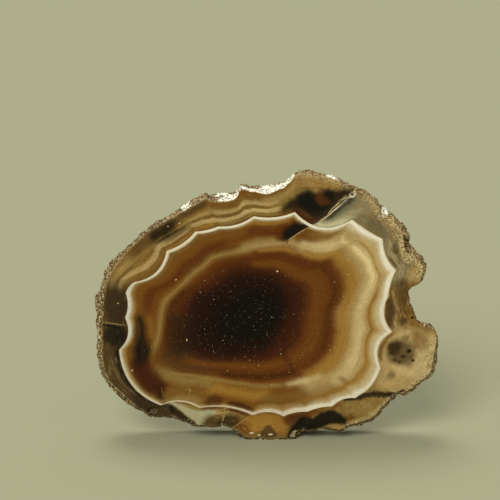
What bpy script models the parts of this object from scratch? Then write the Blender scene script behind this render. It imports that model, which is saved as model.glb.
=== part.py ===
"""A slice of banded agate: one piece of stone, sawn through and left rough round its rim.

Metres, +Z up. The slice stands on a small flat spot of its rim, with its polished face
towards -Y and its sawn back towards +Y. The origin is under the middle of the slice, at
the level that it stands on.

The rim is a loft: the outline of the polished face, then rings of rough rind that stand
out past it, then the outline of the back. Cracks, pits and chips are cut out afterwards.
"""
import math

import bmesh
import bpy
from mathutils import Euler, Matrix, Vector, noise

MM = 0.001

# Driving dimensions, in millimetres.
THICKNESS = 7.5
HALF = THICKNESS / 2
FOOT_SNAP = 0.30
CENTRE = (0.0, 27.3)

# The edge of the polished face, as (x, z), clockwise from the left as the camera sees it.
UPPER_LEFT_EDGE = (
    (-33.1, 27.7), (-32.9, 30.1), (-32.3, 32.8), (-31.1, 35.5), (-29.6, 37.7), (-27.9, 39.8),
    (-26.2, 41.2), (-24.4, 42.8), (-22.0, 44.5), (-20.2, 45.5), (-17.6, 47.2), (-14.2, 49.2),
)
TOP_SCALLOPS = (
    (-12.4, 50.1), (-11.7, 49.6), (-10.3, 49.5), (-7.8, 49.6), (-6.4, 50.2), (-5.1, 51.8),
    (-3.9, 51.5), (-2.3, 51.3), (-1.0, 51.0), (0.6, 51.1), (2.4, 52.0),
)
TOP_LOBE = (
    (3.5, 52.5), (4.6, 53.7), (5.8, 54.9), (7.5, 55.1), (9.3, 55.1), (11.1, 54.6), (13.9, 53.7),
    (15.9, 52.4),
)
UPPER_RIGHT_EDGE = (
    (17.7, 51.5), (19.5, 50.8), (21.1, 49.5), (22.2, 48.0), (24.0, 46.4), (25.6, 45.0),
    (27.0, 43.5), (28.1, 41.9), (28.2, 40.5), (28.7, 39.3), (30.3, 37.3), (31.2, 35.9),
)
RIGHT_NOTCH = (
    (30.8, 34.3), (30.4, 32.7), (29.0, 32.0), (28.2, 30.9), (28.5, 28.7), (29.2, 26.6),
    (30.1, 24.9), (31.5, 23.8), (33.4, 23.1),
)
LOWER_RIGHT_LOBE = (
    (34.1, 22.0), (33.8, 18.9), (33.4, 16.2), (32.8, 14.0), (30.9, 12.4), (28.7, 10.6),
    (27.3, 10.0), (26.1, 10.1), (24.9, 8.8), (23.3, 7.0), (21.7, 5.2), (19.2, 3.9), (16.8, 3.2),
    (14.8, 2.3), (12.3, 2.7), (9.5, 2.4),
)
FOOT_EDGE = (
    (6.8, 1.7), (5.6, 0.6), (2.6, 0.4), (-1.1, 0.4), (-4.4, 0.6), (-6.2, 1.8),
)
LOWER_LEFT_EDGE = (
    (-7.6, 2.7), (-8.8, 3.0), (-10.9, 2.7), (-13.1, 3.0), (-15.4, 3.6), (-17.0, 4.2),
    (-18.6, 4.9), (-21.9, 5.2), (-24.4, 5.9), (-27.2, 7.6), (-29.0, 9.3), (-30.6, 10.8),
    (-32.1, 12.5), (-32.9, 14.5), (-33.5, 17.2), (-33.5, 19.9), (-33.4, 24.3),
)
FACE_EDGE = (UPPER_LEFT_EDGE + TOP_SCALLOPS + TOP_LOBE + UPPER_RIGHT_EDGE + RIGHT_NOTCH
             + LOWER_RIGHT_LOBE + FOOT_EDGE + LOWER_LEFT_EDGE)

# How far the rind stands out past the polished edge, by direction from the centre:
# degrees from +X towards +Z, at its widest ring, at the back edge.
RIND_STAND_OUT = (
    (-168, 0.95, 0.60), (-150, 1.20, 0.85), (-118, 0.75, 0.40), (-90, 0.60, 0.45),
    (-62, 1.00, 0.45), (-35, 1.05, 0.50), (-18, 0.75, 0.30), (-7, -0.20, -1.50),
    (4, 0.25, -0.30), (15, 0.45, 0.00), (30, 0.30, -0.40), (50, 0.25, -0.80),
    (65, -0.10, -1.20), (78, -0.05, -1.00), (88, 0.25, 0.30), (100, 0.10, -0.10),
    (110, 0.30, 0.30), (120, 0.10, -0.30), (135, -0.05, -0.80), (155, 0.05, -0.45),
    (170, 0.75, 0.30), (180, 1.50, 1.20),
)
WIDEST_AT = 0.38

# The rind's relief: lumps, knobs and pits, as (size, height).
LUMPS = (3.8, 0.55)
KNOBS = (1.7, 0.34)
PITS = (2.7, 0.40)
EDGE_NICKS = (1.3, 0.16)

# Mesh density.
ROUND_COUNT = 236
CURVE_STEPS = 10
RIM_STATIONS = (0.0, 0.035, 0.10, 0.19, 0.29, 0.40, 0.52, 0.64, 0.76, 0.87, 0.95, 1.0)

# Cracks on the polished face: path, half width and depth. Each starts off the rim.
FRACTURE = (((17.6, 52.2), (15.8, 49.9), (14.4, 48.7), (12.4, 47.3), (10.4, 45.7)), 0.38, 0.9)
LEFT_CRACK = (((-35.0, 25.2), (-32.8, 24.7), (-31.0, 24.1), (-28.3, 23.5)), 0.16, 0.5)
FISSURE = (((27.6, 10.1), (25.3, 9.4), (23.7, 9.2), (21.4, 9.3)), 0.55, 1.4)
CRACKS = {"fracture": FRACTURE, "left crack": LEFT_CRACK, "fissure": FISSURE}
CRACK_PROUD = 0.4

# Pits and chips: place on the face, depth place from the front, radii and turn in degrees.
HOLLOWS = {
    "rim pit": ((17.1, 51.5), 0.0, (1.15, 1.1, 0.6), 45),
    "crystal vug": ((27.9, 40.7), 0.3, (0.65, 1.3, 2.2), 14),
    "foot chip": ((6.9, 1.2), 0.2, (1.2, 1.5, 1.4), 0),
    "heel pit": ((-16.4, 3.9), 0.0, (1.3, 0.7, 0.6), -20),
    "lower left pit": ((-23.4, 6.2), 0.0, (1.2, 0.7, 0.7), 25),
    "toe pit": ((-9.0, 3.3), 0.0, (0.9, 0.6, 0.6), 0),
    "shoulder ledge": ((22.9, 47.3), 0.0, (1.7, 0.5, 0.7), 45),
    "back chip high": ((-15.0, 49.3), 7.4, (2.6, 0.9, 1.3), -28),
    "back chip right": ((33.2, 16.8), 7.5, (1.3, 1.1, 2.6), 8),
    "back chip low": ((14.0, 2.5), 7.3, (2.2, 1.0, 1.1), -12),
}
HOLLOW_ROUGHNESS = 0.28

AGATE_COLOUR = (0.16, 0.075, 0.022, 1.0)
AGATE_ROUGHNESS = 0.25


def clear_scene():
    for thing in list(bpy.data.objects):
        bpy.data.objects.remove(thing, do_unlink=True)


def new_collection(name):
    collection = bpy.data.collections.new(name)
    bpy.context.scene.collection.children.link(collection)
    return collection


def curve_point(before, start, end, after, amount):
    """A point on the centripetal curve from start to end."""
    knots = [0.0]
    for first, second in ((before, start), (start, end), (end, after)):
        knots.append(knots[-1] + math.sqrt((second - first).length))
    place = knots[1] + (knots[2] - knots[1]) * amount

    def between(first, second, low, high):
        return first.lerp(second, (place - low) / (high - low))

    a = between(before, start, knots[0], knots[1])
    b = between(start, end, knots[1], knots[2])
    c = between(end, after, knots[2], knots[3])
    return between(between(a, b, knots[0], knots[2]), between(b, c, knots[1], knots[3]),
                   knots[1], knots[2])


def closed_curve(corners, count):
    """Points spaced evenly along the smooth closed curve through the given corners."""
    corners = [Vector(corner) for corner in corners]
    total = len(corners)
    fine = []
    for i in range(total):
        four = [corners[(i + k) % total] for k in (-1, 0, 1, 2)]
        fine += [curve_point(*four, step / CURVE_STEPS) for step in range(CURVE_STEPS)]
    reach = [0.0]
    for i, point in enumerate(fine):
        reach.append(reach[-1] + (fine[(i + 1) % len(fine)] - point).length)
    spaced = []
    i = 0
    for k in range(count):
        target = reach[-1] * k / count
        while reach[i + 1] < target:
            i += 1
        part = (target - reach[i]) / (reach[i + 1] - reach[i])
        spaced.append(fine[i].lerp(fine[(i + 1) % len(fine)], part))
    return spaced


def outward_normals(ring, spread=3):
    """Directions out of a clockwise ring, smoothed over a few points each way."""
    normals = []
    for i in range(len(ring)):
        along = ring[(i + spread) % len(ring)] - ring[i - spread]
        normals.append(Vector((-along.y, along.x)).normalized())
    return normals


def smooth_step(value):
    value = min(max(value, 0.0), 1.0)
    return value * value * (3.0 - 2.0 * value)


def stand_out_at(point):
    """The rind's stand-out at its widest ring and at the back, for a point of the outline."""
    angle = math.degrees(math.atan2(point.y - CENTRE[1], point.x - CENTRE[0]))
    rows = RIND_STAND_OUT
    for i, row in enumerate(rows):
        after = rows[(i + 1) % len(rows)]
        gap = (after[0] - row[0]) % 360
        ahead = (angle - row[0]) % 360
        if ahead < gap:
            part = smooth_step(ahead / gap)
            return [row[k] + (after[k] - row[k]) * part for k in (1, 2)]
    return rows[0][1:]


def rind_profile(station, widest, back):
    """How far the rim stands out at a station from 0, the front, to 1, the back."""
    if station < WIDEST_AT:
        return widest * (1.0 - (1.0 - station / WIDEST_AT) ** 2)
    return widest + (back - widest) * smooth_step((station - WIDEST_AT) / (1.0 - WIDEST_AT))


def bump(distance, radius):
    return max(0.0, 1.0 - (distance / radius) ** 2)


def rind_relief(point):
    """Lumps, knobs and pits of the rind at a point given in millimetres."""
    lumps = LUMPS[1] * noise.noise(point / LUMPS[0])
    knobs = KNOBS[1] * bump(noise.voronoi(point / KNOBS[0])[0][0], 0.62)
    pits = PITS[1] * bump(noise.voronoi(point / PITS[0] + Vector((7.0, 3.0, 5.0)))[0][0], 0.34)
    return lumps + knobs - pits


def edge_nicks(point):
    return EDGE_NICKS[1] * noise.noise(point / EDGE_NICKS[0])


def rim_ring(outline, normals, station):
    """One ring of the rim, in millimetres, with its worn flat foot."""
    depth = -HALF + THICKNESS * station
    away_from_edges = smooth_step(min(station, 1.0 - station) / 0.16)
    ring = []
    for point, normal in zip(outline, normals):
        widest, back = stand_out_at(point)
        out = rind_profile(station, widest, back)
        base = point + normal * out
        solid_point = Vector((base.x, depth, base.y))
        out_more = rind_relief(solid_point) * away_from_edges + edge_nicks(solid_point)
        base += normal * out_more
        height = base.y if base.y > FOOT_SNAP else 0.0
        ring.append(Vector((base.x, depth, height)))
    return ring


def build_stone():
    """The whole slice as one closed loft with a flat cap on each face."""
    outline = closed_curve(FACE_EDGE, ROUND_COUNT)
    normals = outward_normals(outline)
    mesh_maker = bmesh.new()
    rings = []
    for station in RIM_STATIONS:
        ring = rim_ring(outline, normals, station)
        rings.append([mesh_maker.verts.new(point * MM) for point in ring])
    for near, far in zip(rings, rings[1:]):
        for i in range(ROUND_COUNT):
            j = (i + 1) % ROUND_COUNT
            mesh_maker.faces.new((near[i], near[j], far[j], far[i]))
    mesh_maker.faces.new(rings[0])
    mesh_maker.faces.new(rings[-1])
    bmesh.ops.recalc_face_normals(mesh_maker, faces=mesh_maker.faces)
    return mesh_maker


def build_crack_cutter(path, half_width, depth):
    """A wedge that follows a crack on the polished face and thins out along it."""
    points = [Vector(place) for place in path]
    mesh_maker = bmesh.new()
    sections = []
    for i, point in enumerate(points):
        along = points[min(i + 1, len(points) - 1)] - points[max(i - 1, 0)]
        aside = Vector((-along.y, along.x)).normalized()
        left = 1.0 - 0.8 * i / (len(points) - 1)
        open_half = half_width * left * (1.0 + CRACK_PROUD / depth)
        corners = [
            Vector((point.x + aside.x * open_half, -HALF - CRACK_PROUD, point.y + aside.y * open_half)),
            Vector((point.x - aside.x * open_half, -HALF - CRACK_PROUD, point.y - aside.y * open_half)),
            Vector((point.x, -HALF + depth * left, point.y)),
        ]
        sections.append([mesh_maker.verts.new(corner * MM) for corner in corners])
    for near, far in zip(sections, sections[1:]):
        for i in range(3):
            j = (i + 1) % 3
            mesh_maker.faces.new((near[i], near[j], far[j], far[i]))
    mesh_maker.faces.new(sections[0])
    mesh_maker.faces.new(sections[-1])
    bmesh.ops.recalc_face_normals(mesh_maker, faces=mesh_maker.faces)
    return mesh_maker


def build_hollow_cutter(place, from_front, radii, turn):
    """A rough ellipsoid that takes a pit or a chip out of the stone."""
    mesh_maker = bmesh.new()
    bmesh.ops.create_icosphere(mesh_maker, subdivisions=2, radius=1.0)
    turned = Euler((0.0, -math.radians(turn), 0.0)).to_matrix()
    middle = Vector((place[0], -HALF + from_front, place[1]))
    for vert in mesh_maker.verts:
        rough = 1.0 + HOLLOW_ROUGHNESS * noise.noise(vert.co * 1.7 + middle)
        shaped = Matrix.Diagonal(Vector(radii)) @ (vert.co * rough)
        vert.co = (turned @ shaped + middle) * MM
    return mesh_maker


def to_object(mesh_maker, name, collection):
    mesh = bpy.data.meshes.new(name)
    mesh_maker.to_mesh(mesh)
    mesh_maker.free()
    thing = bpy.data.objects.new(name, mesh)
    collection.objects.link(thing)
    return thing


def agate_material():
    material = bpy.data.materials.new("agate")
    material.use_nodes = True
    shader = material.node_tree.nodes["Principled BSDF"]
    shader.inputs["Base Color"].default_value = AGATE_COLOUR
    shader.inputs["Roughness"].default_value = AGATE_ROUGHNESS
    shader.inputs["Metallic"].default_value = 0.0
    return material


def make_cutters(collection):
    makers = {name: build_crack_cutter(*values) for name, values in CRACKS.items()}
    makers.update({name: build_hollow_cutter(*values) for name, values in HOLLOWS.items()})
    for name, mesh_maker in makers.items():
        cutter = to_object(mesh_maker, name, collection)
        cutter.hide_render = True
        cutter.display_type = "WIRE"


def main():
    clear_scene()
    parts = new_collection("agate slice")
    cutters = new_collection("cutters")
    stone = to_object(build_stone(), "agate_slice", parts)
    stone.data.materials.append(agate_material())
    stone.data.shade_smooth()
    stone.data.set_sharp_from_angle(angle=math.radians(35))
    make_cutters(cutters)
    cuts = stone.modifiers.new("cracks and pits", "BOOLEAN")
    cuts.operation = "DIFFERENCE"
    cuts.operand_type = "COLLECTION"
    cuts.collection = cutters
    cuts.solver = "EXACT"


main()
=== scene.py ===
"""The looks of the agate slice: its bands, stains, rough rind and sawn back, with stage, lights and camera.

Lengths are in millimetres until a mesh or a light is made. The stone is one closed mesh: rings
of points on both faces follow the bands, and more rings carry the rough rim between them.
Places on the polished face are named by pixels of the 500 by 500 photograph, and on_face()
turns each into a point of the face.
"""
import math

import bpy
import numpy as np
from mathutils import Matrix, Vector, noise


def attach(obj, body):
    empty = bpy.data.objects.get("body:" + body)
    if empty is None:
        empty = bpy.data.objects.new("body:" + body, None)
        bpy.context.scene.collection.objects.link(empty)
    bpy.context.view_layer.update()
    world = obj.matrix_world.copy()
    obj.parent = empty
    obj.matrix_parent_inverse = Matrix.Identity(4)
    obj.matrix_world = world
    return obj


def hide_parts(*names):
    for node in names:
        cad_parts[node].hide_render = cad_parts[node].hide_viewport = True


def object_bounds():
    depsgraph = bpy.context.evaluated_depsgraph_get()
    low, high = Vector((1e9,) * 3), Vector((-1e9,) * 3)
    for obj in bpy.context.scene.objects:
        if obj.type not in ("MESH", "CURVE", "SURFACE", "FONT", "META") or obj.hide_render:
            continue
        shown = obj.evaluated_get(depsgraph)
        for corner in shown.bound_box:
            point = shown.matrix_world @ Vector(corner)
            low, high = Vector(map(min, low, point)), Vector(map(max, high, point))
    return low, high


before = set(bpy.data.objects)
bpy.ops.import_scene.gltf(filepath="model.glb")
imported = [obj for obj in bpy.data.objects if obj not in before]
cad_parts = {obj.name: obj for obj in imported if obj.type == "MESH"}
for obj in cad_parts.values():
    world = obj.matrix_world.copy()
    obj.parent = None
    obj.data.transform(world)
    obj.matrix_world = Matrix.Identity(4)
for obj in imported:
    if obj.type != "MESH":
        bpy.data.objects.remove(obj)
CAD_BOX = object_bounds()

MM = 0.001

# The solid's own driving dimensions, in millimetres.
THICKNESS = 7.5
HALF = THICKNESS / 2
FOOT_SNAP = 0.30
CENTRE = (0.0, 27.3)

# The edge of the polished face, as (x, z), clockwise from the left as the camera sees it.
UPPER_LEFT_EDGE = (
    (-33.1, 27.7), (-32.9, 30.1), (-32.3, 32.8), (-31.1, 35.5), (-29.6, 37.7), (-27.9, 39.8),
    (-26.2, 41.2), (-24.4, 42.8), (-22.0, 44.5), (-20.2, 45.5), (-17.6, 47.2), (-14.2, 49.2),
)
TOP_SCALLOPS = (
    (-12.4, 50.1), (-11.7, 49.6), (-10.3, 49.5), (-7.8, 49.6), (-6.4, 50.2), (-5.1, 51.8),
    (-3.9, 51.5), (-2.3, 51.3), (-1.0, 51.0), (0.6, 51.1), (2.4, 52.0),
)
TOP_LOBE = (
    (3.5, 52.5), (4.6, 53.7), (5.8, 54.9), (7.5, 55.1), (9.3, 55.1), (11.1, 54.6), (13.9, 53.7),
    (15.9, 52.4),
)
UPPER_RIGHT_EDGE = (
    (17.7, 51.5), (19.5, 50.8), (21.1, 49.5), (22.2, 48.0), (24.0, 46.4), (25.6, 45.0),
    (27.0, 43.5), (28.1, 41.9), (28.2, 40.5), (28.7, 39.3), (30.3, 37.3), (31.2, 35.9),
)
RIGHT_NOTCH = (
    (30.8, 34.3), (30.4, 32.7), (29.0, 32.0), (28.2, 30.9), (28.5, 28.7), (29.2, 26.6),
    (30.1, 24.9), (31.5, 23.8), (33.4, 23.1),
)
LOWER_RIGHT_LOBE = (
    (34.1, 22.0), (33.8, 18.9), (33.4, 16.2), (32.8, 14.0), (30.9, 12.4), (28.7, 10.6),
    (27.3, 10.0), (26.1, 10.1), (24.9, 8.8), (23.3, 7.0), (21.7, 5.2), (19.2, 3.9), (16.8, 3.2),
    (14.8, 2.3), (12.3, 2.7), (9.5, 2.4),
)
FOOT_EDGE = (
    (6.8, 1.7), (5.6, 0.6), (2.6, 0.4), (-1.1, 0.4), (-4.4, 0.6), (-6.2, 1.8),
)
LOWER_LEFT_EDGE = (
    (-7.6, 2.7), (-8.8, 3.0), (-10.9, 2.7), (-13.1, 3.0), (-15.4, 3.6), (-17.0, 4.2),
    (-18.6, 4.9), (-21.9, 5.2), (-24.4, 5.9), (-27.2, 7.6), (-29.0, 9.3), (-30.6, 10.8),
    (-32.1, 12.5), (-32.9, 14.5), (-33.5, 17.2), (-33.5, 19.9), (-33.4, 24.3),
)
FACE_EDGE = (UPPER_LEFT_EDGE + TOP_SCALLOPS + TOP_LOBE + UPPER_RIGHT_EDGE + RIGHT_NOTCH
             + LOWER_RIGHT_LOBE + FOOT_EDGE + LOWER_LEFT_EDGE)

# How far the rind stands out past the polished edge, by direction from the centre:
# degrees from +X towards +Z, at its widest ring, at the back edge.
RIND_STAND_OUT = (
    (-168, 0.95, 0.60), (-150, 1.20, 0.85), (-118, 0.75, 0.40), (-90, 0.60, 0.45),
    (-62, 1.00, 0.45), (-35, 1.05, 0.50), (-18, 0.75, 0.30), (-7, -0.20, -1.50),
    (4, 0.25, -0.30), (15, 0.45, 0.00), (30, 0.30, -0.40), (50, 0.25, -0.80),
    (65, -0.10, -1.20), (78, -0.05, -1.00), (88, 0.25, 0.30), (100, 0.10, -0.10),
    (110, 0.30, 0.30), (120, 0.10, -0.30), (135, -0.05, -0.80), (155, 0.05, -0.45),
    (170, 0.75, 0.30), (180, 1.50, 1.20),
)
WIDEST_AT = 0.38

# The rind's relief, as (size, height). The last two are finer than the solid's.
LUMPS = (3.8, 0.55)
KNOBS = (1.7, 0.34)
PITS = (2.7, 0.40)
EDGE_NICKS = (1.3, 0.16)
CRYSTALS = (0.62, 0.17)
GRIT = (0.27, 0.05)

# How wide knobs and pits are within their cells, where the pits' cells begin, the distance at
# which a crystal is level with the rim, and the share of the thickness over which the relief
# grows from either edge.
KNOB_WIDTH = 0.62
PIT_WIDTH = 0.34
PIT_SHIFT = Vector((7.0, 3.0, 5.0))
CRYSTAL_MIDDLE = 0.45
EDGE_EASE = 0.16

# Mesh density: points round the rim, rings across it, and rings between the bands' edges on
# the polished face and on the back: rind, white band, tan, brown, core.
ROUND_COUNT = 720
CURVE_STEPS = 10
NORMAL_SPREAD = 9
RIM_RINGS = 48
FRONT_RINGS = (26, 4, 9, 9, 3)
BACK_RINGS = (10, 3, 5, 5, 2)
CORE_REACH = 4.6

# The camera, which also fixes where a pixel of the photograph lies on the face.
PHOTO_SIZE = 500
LENS = 151.2
SENSOR = 36.0
CAMERA_AIM = Vector((-3.55, -HALF, 39.59))
CAMERA_DISTANCE = 420.0
CAMERA_DOWN = math.radians(12.0)
CAMERA_CLIP = (0.01, 20.0)
PIXELS_PER_MM = PHOTO_SIZE * LENS / SENSOR / CAMERA_DISTANCE

# The bands run round this point of the face. The rind and the brown inside the white band are
# at least this wide, and a slow wobble of this size turns the bands' directions.
BAND_CENTRE_PLACE = (262, 318)
LEAST_RIND = 0.6
LEAST_BROWN = 1.0
BAND_WOBBLE = 0.3
BAND_WOBBLE_SIZE = 6.0
BAND_WOBBLE_SEED = 9.0

# The white band's outer edge: where its scallops meet, and how far each bulges inwards
# before the next, in pixels, clockwise from the top.
WHITE_SCALLOPS = (
    ((253.7, 216.1), 3.2), ((294.9, 212), 12), ((352.5, 219.1), 0.9), ((383.2, 238.7), 3.7),
    ((396.9, 269.9), 1.5), ((388.9, 297), 1.7), ((385.5, 316), 1.2), ((393.4, 331.9), 8.7),
    ((381.3, 368), -3.9), ((356.2, 399), 3.2), ((332.5, 406.8), 1.4), ((307.5, 411.9), 1.5),
    ((283.7, 416.6), 3.8), ((253, 415.4), 4.3), ((199.1, 408), 5), ((160.8, 405.5), -11.1),
    ((119, 349.9), 5.9), ((124.8, 317.7), 2.5), ((125.4, 293.2), -1.2), ((134, 282), 8.1),
    ((166.5, 250.7), 2.6), ((195.3, 231.4), 1.1), ((218.3, 226.3), 3.4),
)
SCALLOP_STEPS = 14

# The white band's thickness in pixels, at places on it.
WHITE_THICKNESS = (
    ((172, 250), 4.2), ((224, 226), 2.4), ((270, 218), 2.3), ((307, 225), 3), ((330, 229), 3.2),
    ((353, 222), 5), ((364, 230), 6.5), ((380, 245), 4.5), ((392, 268), 7), ((389, 289), 6),
    ((385, 310), 7.5), ((391, 331), 9), ((378, 350), 6), ((378, 370), 6), ((366, 388), 6.5),
    ((356, 393), 11), ((345, 396), 5), ((332, 403), 6), ((300, 410), 5.5), ((284, 414), 5.4),
    ((269, 410), 4), ((240, 409), 2.5), ((226, 406), 2), ((200, 407), 2), ((180, 401), 2.5),
    ((160, 403), 3.5), ((145, 396), 4), ((134, 386), 4.5), ((123, 365), 4.5), ((121, 355), 3.5),
    ((126, 345), 5), ((130, 330), 5.5), ((128, 318), 6), ((129, 304), 5.5), ((129, 293), 6),
    ((133, 285), 4), ((155, 275), 3.7), ((165, 262), 3.4),
)

# The white band's look by direction in degrees: how bright it is, from 0 to 1, and the band
# numbers between which it fades inwards.
WHITE_LOOK = (
    (-60, 0.7, 1.7, 2.2), (-35, 0.72, 1.4, 2.3), (-10, 0.72, 1.4, 2.3), (5, 0.8, 1.45, 2.32),
    (15, 0.92, 1.8, 2.34), (45, 1, 1.8, 2.3), (56, 1, 1.75, 2.16), (85, 1, 1.85, 2.12),
    (112, 0.95, 1.75, 2.12), (135, 0.65, 1.55, 2.08), (160, 0.7, 1.45, 2.08), (185, 0.6, 1.35, 2.1),
    (205, 0.3, 1.2, 2.1), (222, 0.3, 1.2, 2.1), (240, 0.15, 1.4, 2.1), (262, 0.15, 1.7, 2.1),
    (285, 0.25, 1.7, 2.15),
)

# The tan ridge inside the white band, clockwise from the left.
TAN_RIDGE = (
    (160.8, 317.4), (161.6, 309.2), (164.2, 301.6), (174.4, 291.4), (184.6, 281.2),
    (192.2, 273.5), (202.4, 265.9), (211.4, 257.6), (220.3, 253.8), (233, 250.6),
    (245.8, 248), (272.8, 242.9), (288.1, 241.6), (305.9, 246.7), (317.4, 249.3),
    (328.9, 249.3), (341.6, 245.5), (349.3, 242.9), (362, 251.8), (368.4, 258.2),
    (372.2, 268.4), (374.8, 277.3), (368, 293.9), (360, 310), (357, 330),
    (352, 352), (335, 374), (310, 385), (285, 388), (258.6, 389.5),
    (239.4, 386.9), (220.3, 383.1), (201.2, 379.3), (188.4, 376.7), (169.3, 374.2),
    (156.5, 366.5), (152, 359.6), (154.4, 349.3), (157.6, 339.7), (159.5, 328.9),
)

# Where the dark core begins, clockwise from the left.
CORE_EDGE = (
    (189, 318), (197, 297), (214.4, 289), (226, 281), (237, 274.7),
    (262, 276), (274, 279.4), (285, 290), (289, 303), (286, 318),
    (281, 328), (275.8, 338), (265, 350), (246, 354), (229, 356),
    (208, 354), (190, 345), (186, 332),
)

# Cracks on the polished face, as in the solid: path, half width and depth.
FRACTURE = (((17.6, 52.2), (15.8, 49.9), (14.4, 48.7), (12.4, 47.3), (10.4, 45.7)), 0.38, 0.9)
LEFT_CRACK = (((-35, 25.2), (-32.8, 24.7), (-31, 24.1), (-28.3, 23.5)), 0.16, 0.5)
FISSURE = (((27.6, 10.1), (25.3, 9.4), (23.7, 9.2), (21.4, 9.3)), 0.55, 1.4)
CRACKS = (FRACTURE, LEFT_CRACK, FISSURE)
CRACK_NARROWING = 0.8
CRACK_BREAKAGE = 1.6
FRONT_MARGIN = 1e-6

# Pits and chips, as in the solid: place, depth from the front, radii and turn in degrees.
HOLLOWS = {
    "rim pit": ((17.1, 51.5), 0, (1.15, 1.1, 0.6), 45),
    "crystal vug": ((27.9, 40.7), 0.3, (0.65, 1.3, 2.2), 14),
    "foot chip": ((6.9, 1.2), 0.2, (1.2, 1.5, 1.4), 0),
    "heel pit": ((-16.4, 3.9), 0, (1.3, 0.7, 0.6), -20),
    "lower left pit": ((-23.4, 6.2), 0, (1.2, 0.7, 0.7), 25),
    "toe pit": ((-9, 3.3), 0, (0.9, 0.6, 0.6), 0),
    "shoulder ledge": ((22.9, 47.3), 0, (1.7, 0.5, 0.7), 45),
    "back chip high": ((-15, 49.3), 7.4, (2.6, 0.9, 1.3), -28),
    "back chip right": ((33.2, 16.8), 7.5, (1.3, 1.1, 2.6), 8),
    "back chip low": ((14, 2.5), 7.3, (2.2, 1, 1.1), -12),
}

# The roughness of a hollow's wall and its scale, how far out the point stands from which it is
# pushed in, how far round it points are looked for, and the push that breaks a point fully.
HOLLOW_ROUGHNESS = 0.28
HOLLOW_WALL_SCALE = 1.7
HOLLOW_EYE = 1.3
HOLLOW_SEARCH = 1.4
FULLY_BROKEN = 0.35

# The stone's colours, as red, green and blue from 0 to 255.
STONE_COLOURS = {
    "soot": (15, 14, 9),
    "core": (14, 7, 5),
    "plum black": (31, 11, 6),
    "black brown": (36, 24, 13),
    "dark brown": (52, 38, 21),
    "dark red": (60, 26, 8),
    "umber": (74, 54, 27),
    "red brown": (84, 43, 9),
    "russet": (104, 61, 16),
    "chestnut": (110, 72, 22),
    "ochre": (118, 86, 35),
    "grey brown": (104, 88, 56),
    "amber": (148, 108, 42),
    "olive tan": (137, 112, 58),
    "grey tan": (145, 129, 92),
    "tan": (158, 130, 76),
    "beige": (172, 146, 93),
    "pale tan": (184, 160, 108),
    "teal grey": (104, 104, 80),
    "celadon": (166, 160, 122),
    "sand": (197, 175, 124),
    "straw": (214, 192, 138),
    "cream": (218, 206, 170),
    "dull milk": (192, 177, 147),
    "milk": (226, 219, 195),
    "cool milk": (203, 205, 193),
    # Partly painted highlight: the white of the rim's top hollows.
    "druse white": (250, 247, 226),
}

# The colours that run all the way round, as (band number, colour). The rind's bands number 0
# to 1, the white band is 1 to 2, the tan ridge 3, and the core begins at 4.
RIND_GROUND = ((0, "ochre"), (0.25, "ochre"), (0.5, "olive tan"), (0.85, "ochre"),
               (1, "chestnut"))
INNER_GROUND = ((2, "tan"), (2.14, "chestnut"), (2.5, "russet"), (2.8, "russet"),
                (2.95, "chestnut"), (3.15, "russet"), (3.4, "red brown"), (3.8, "dark red"),
                (4.1, "plum black"), (4.5, "core"))

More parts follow.
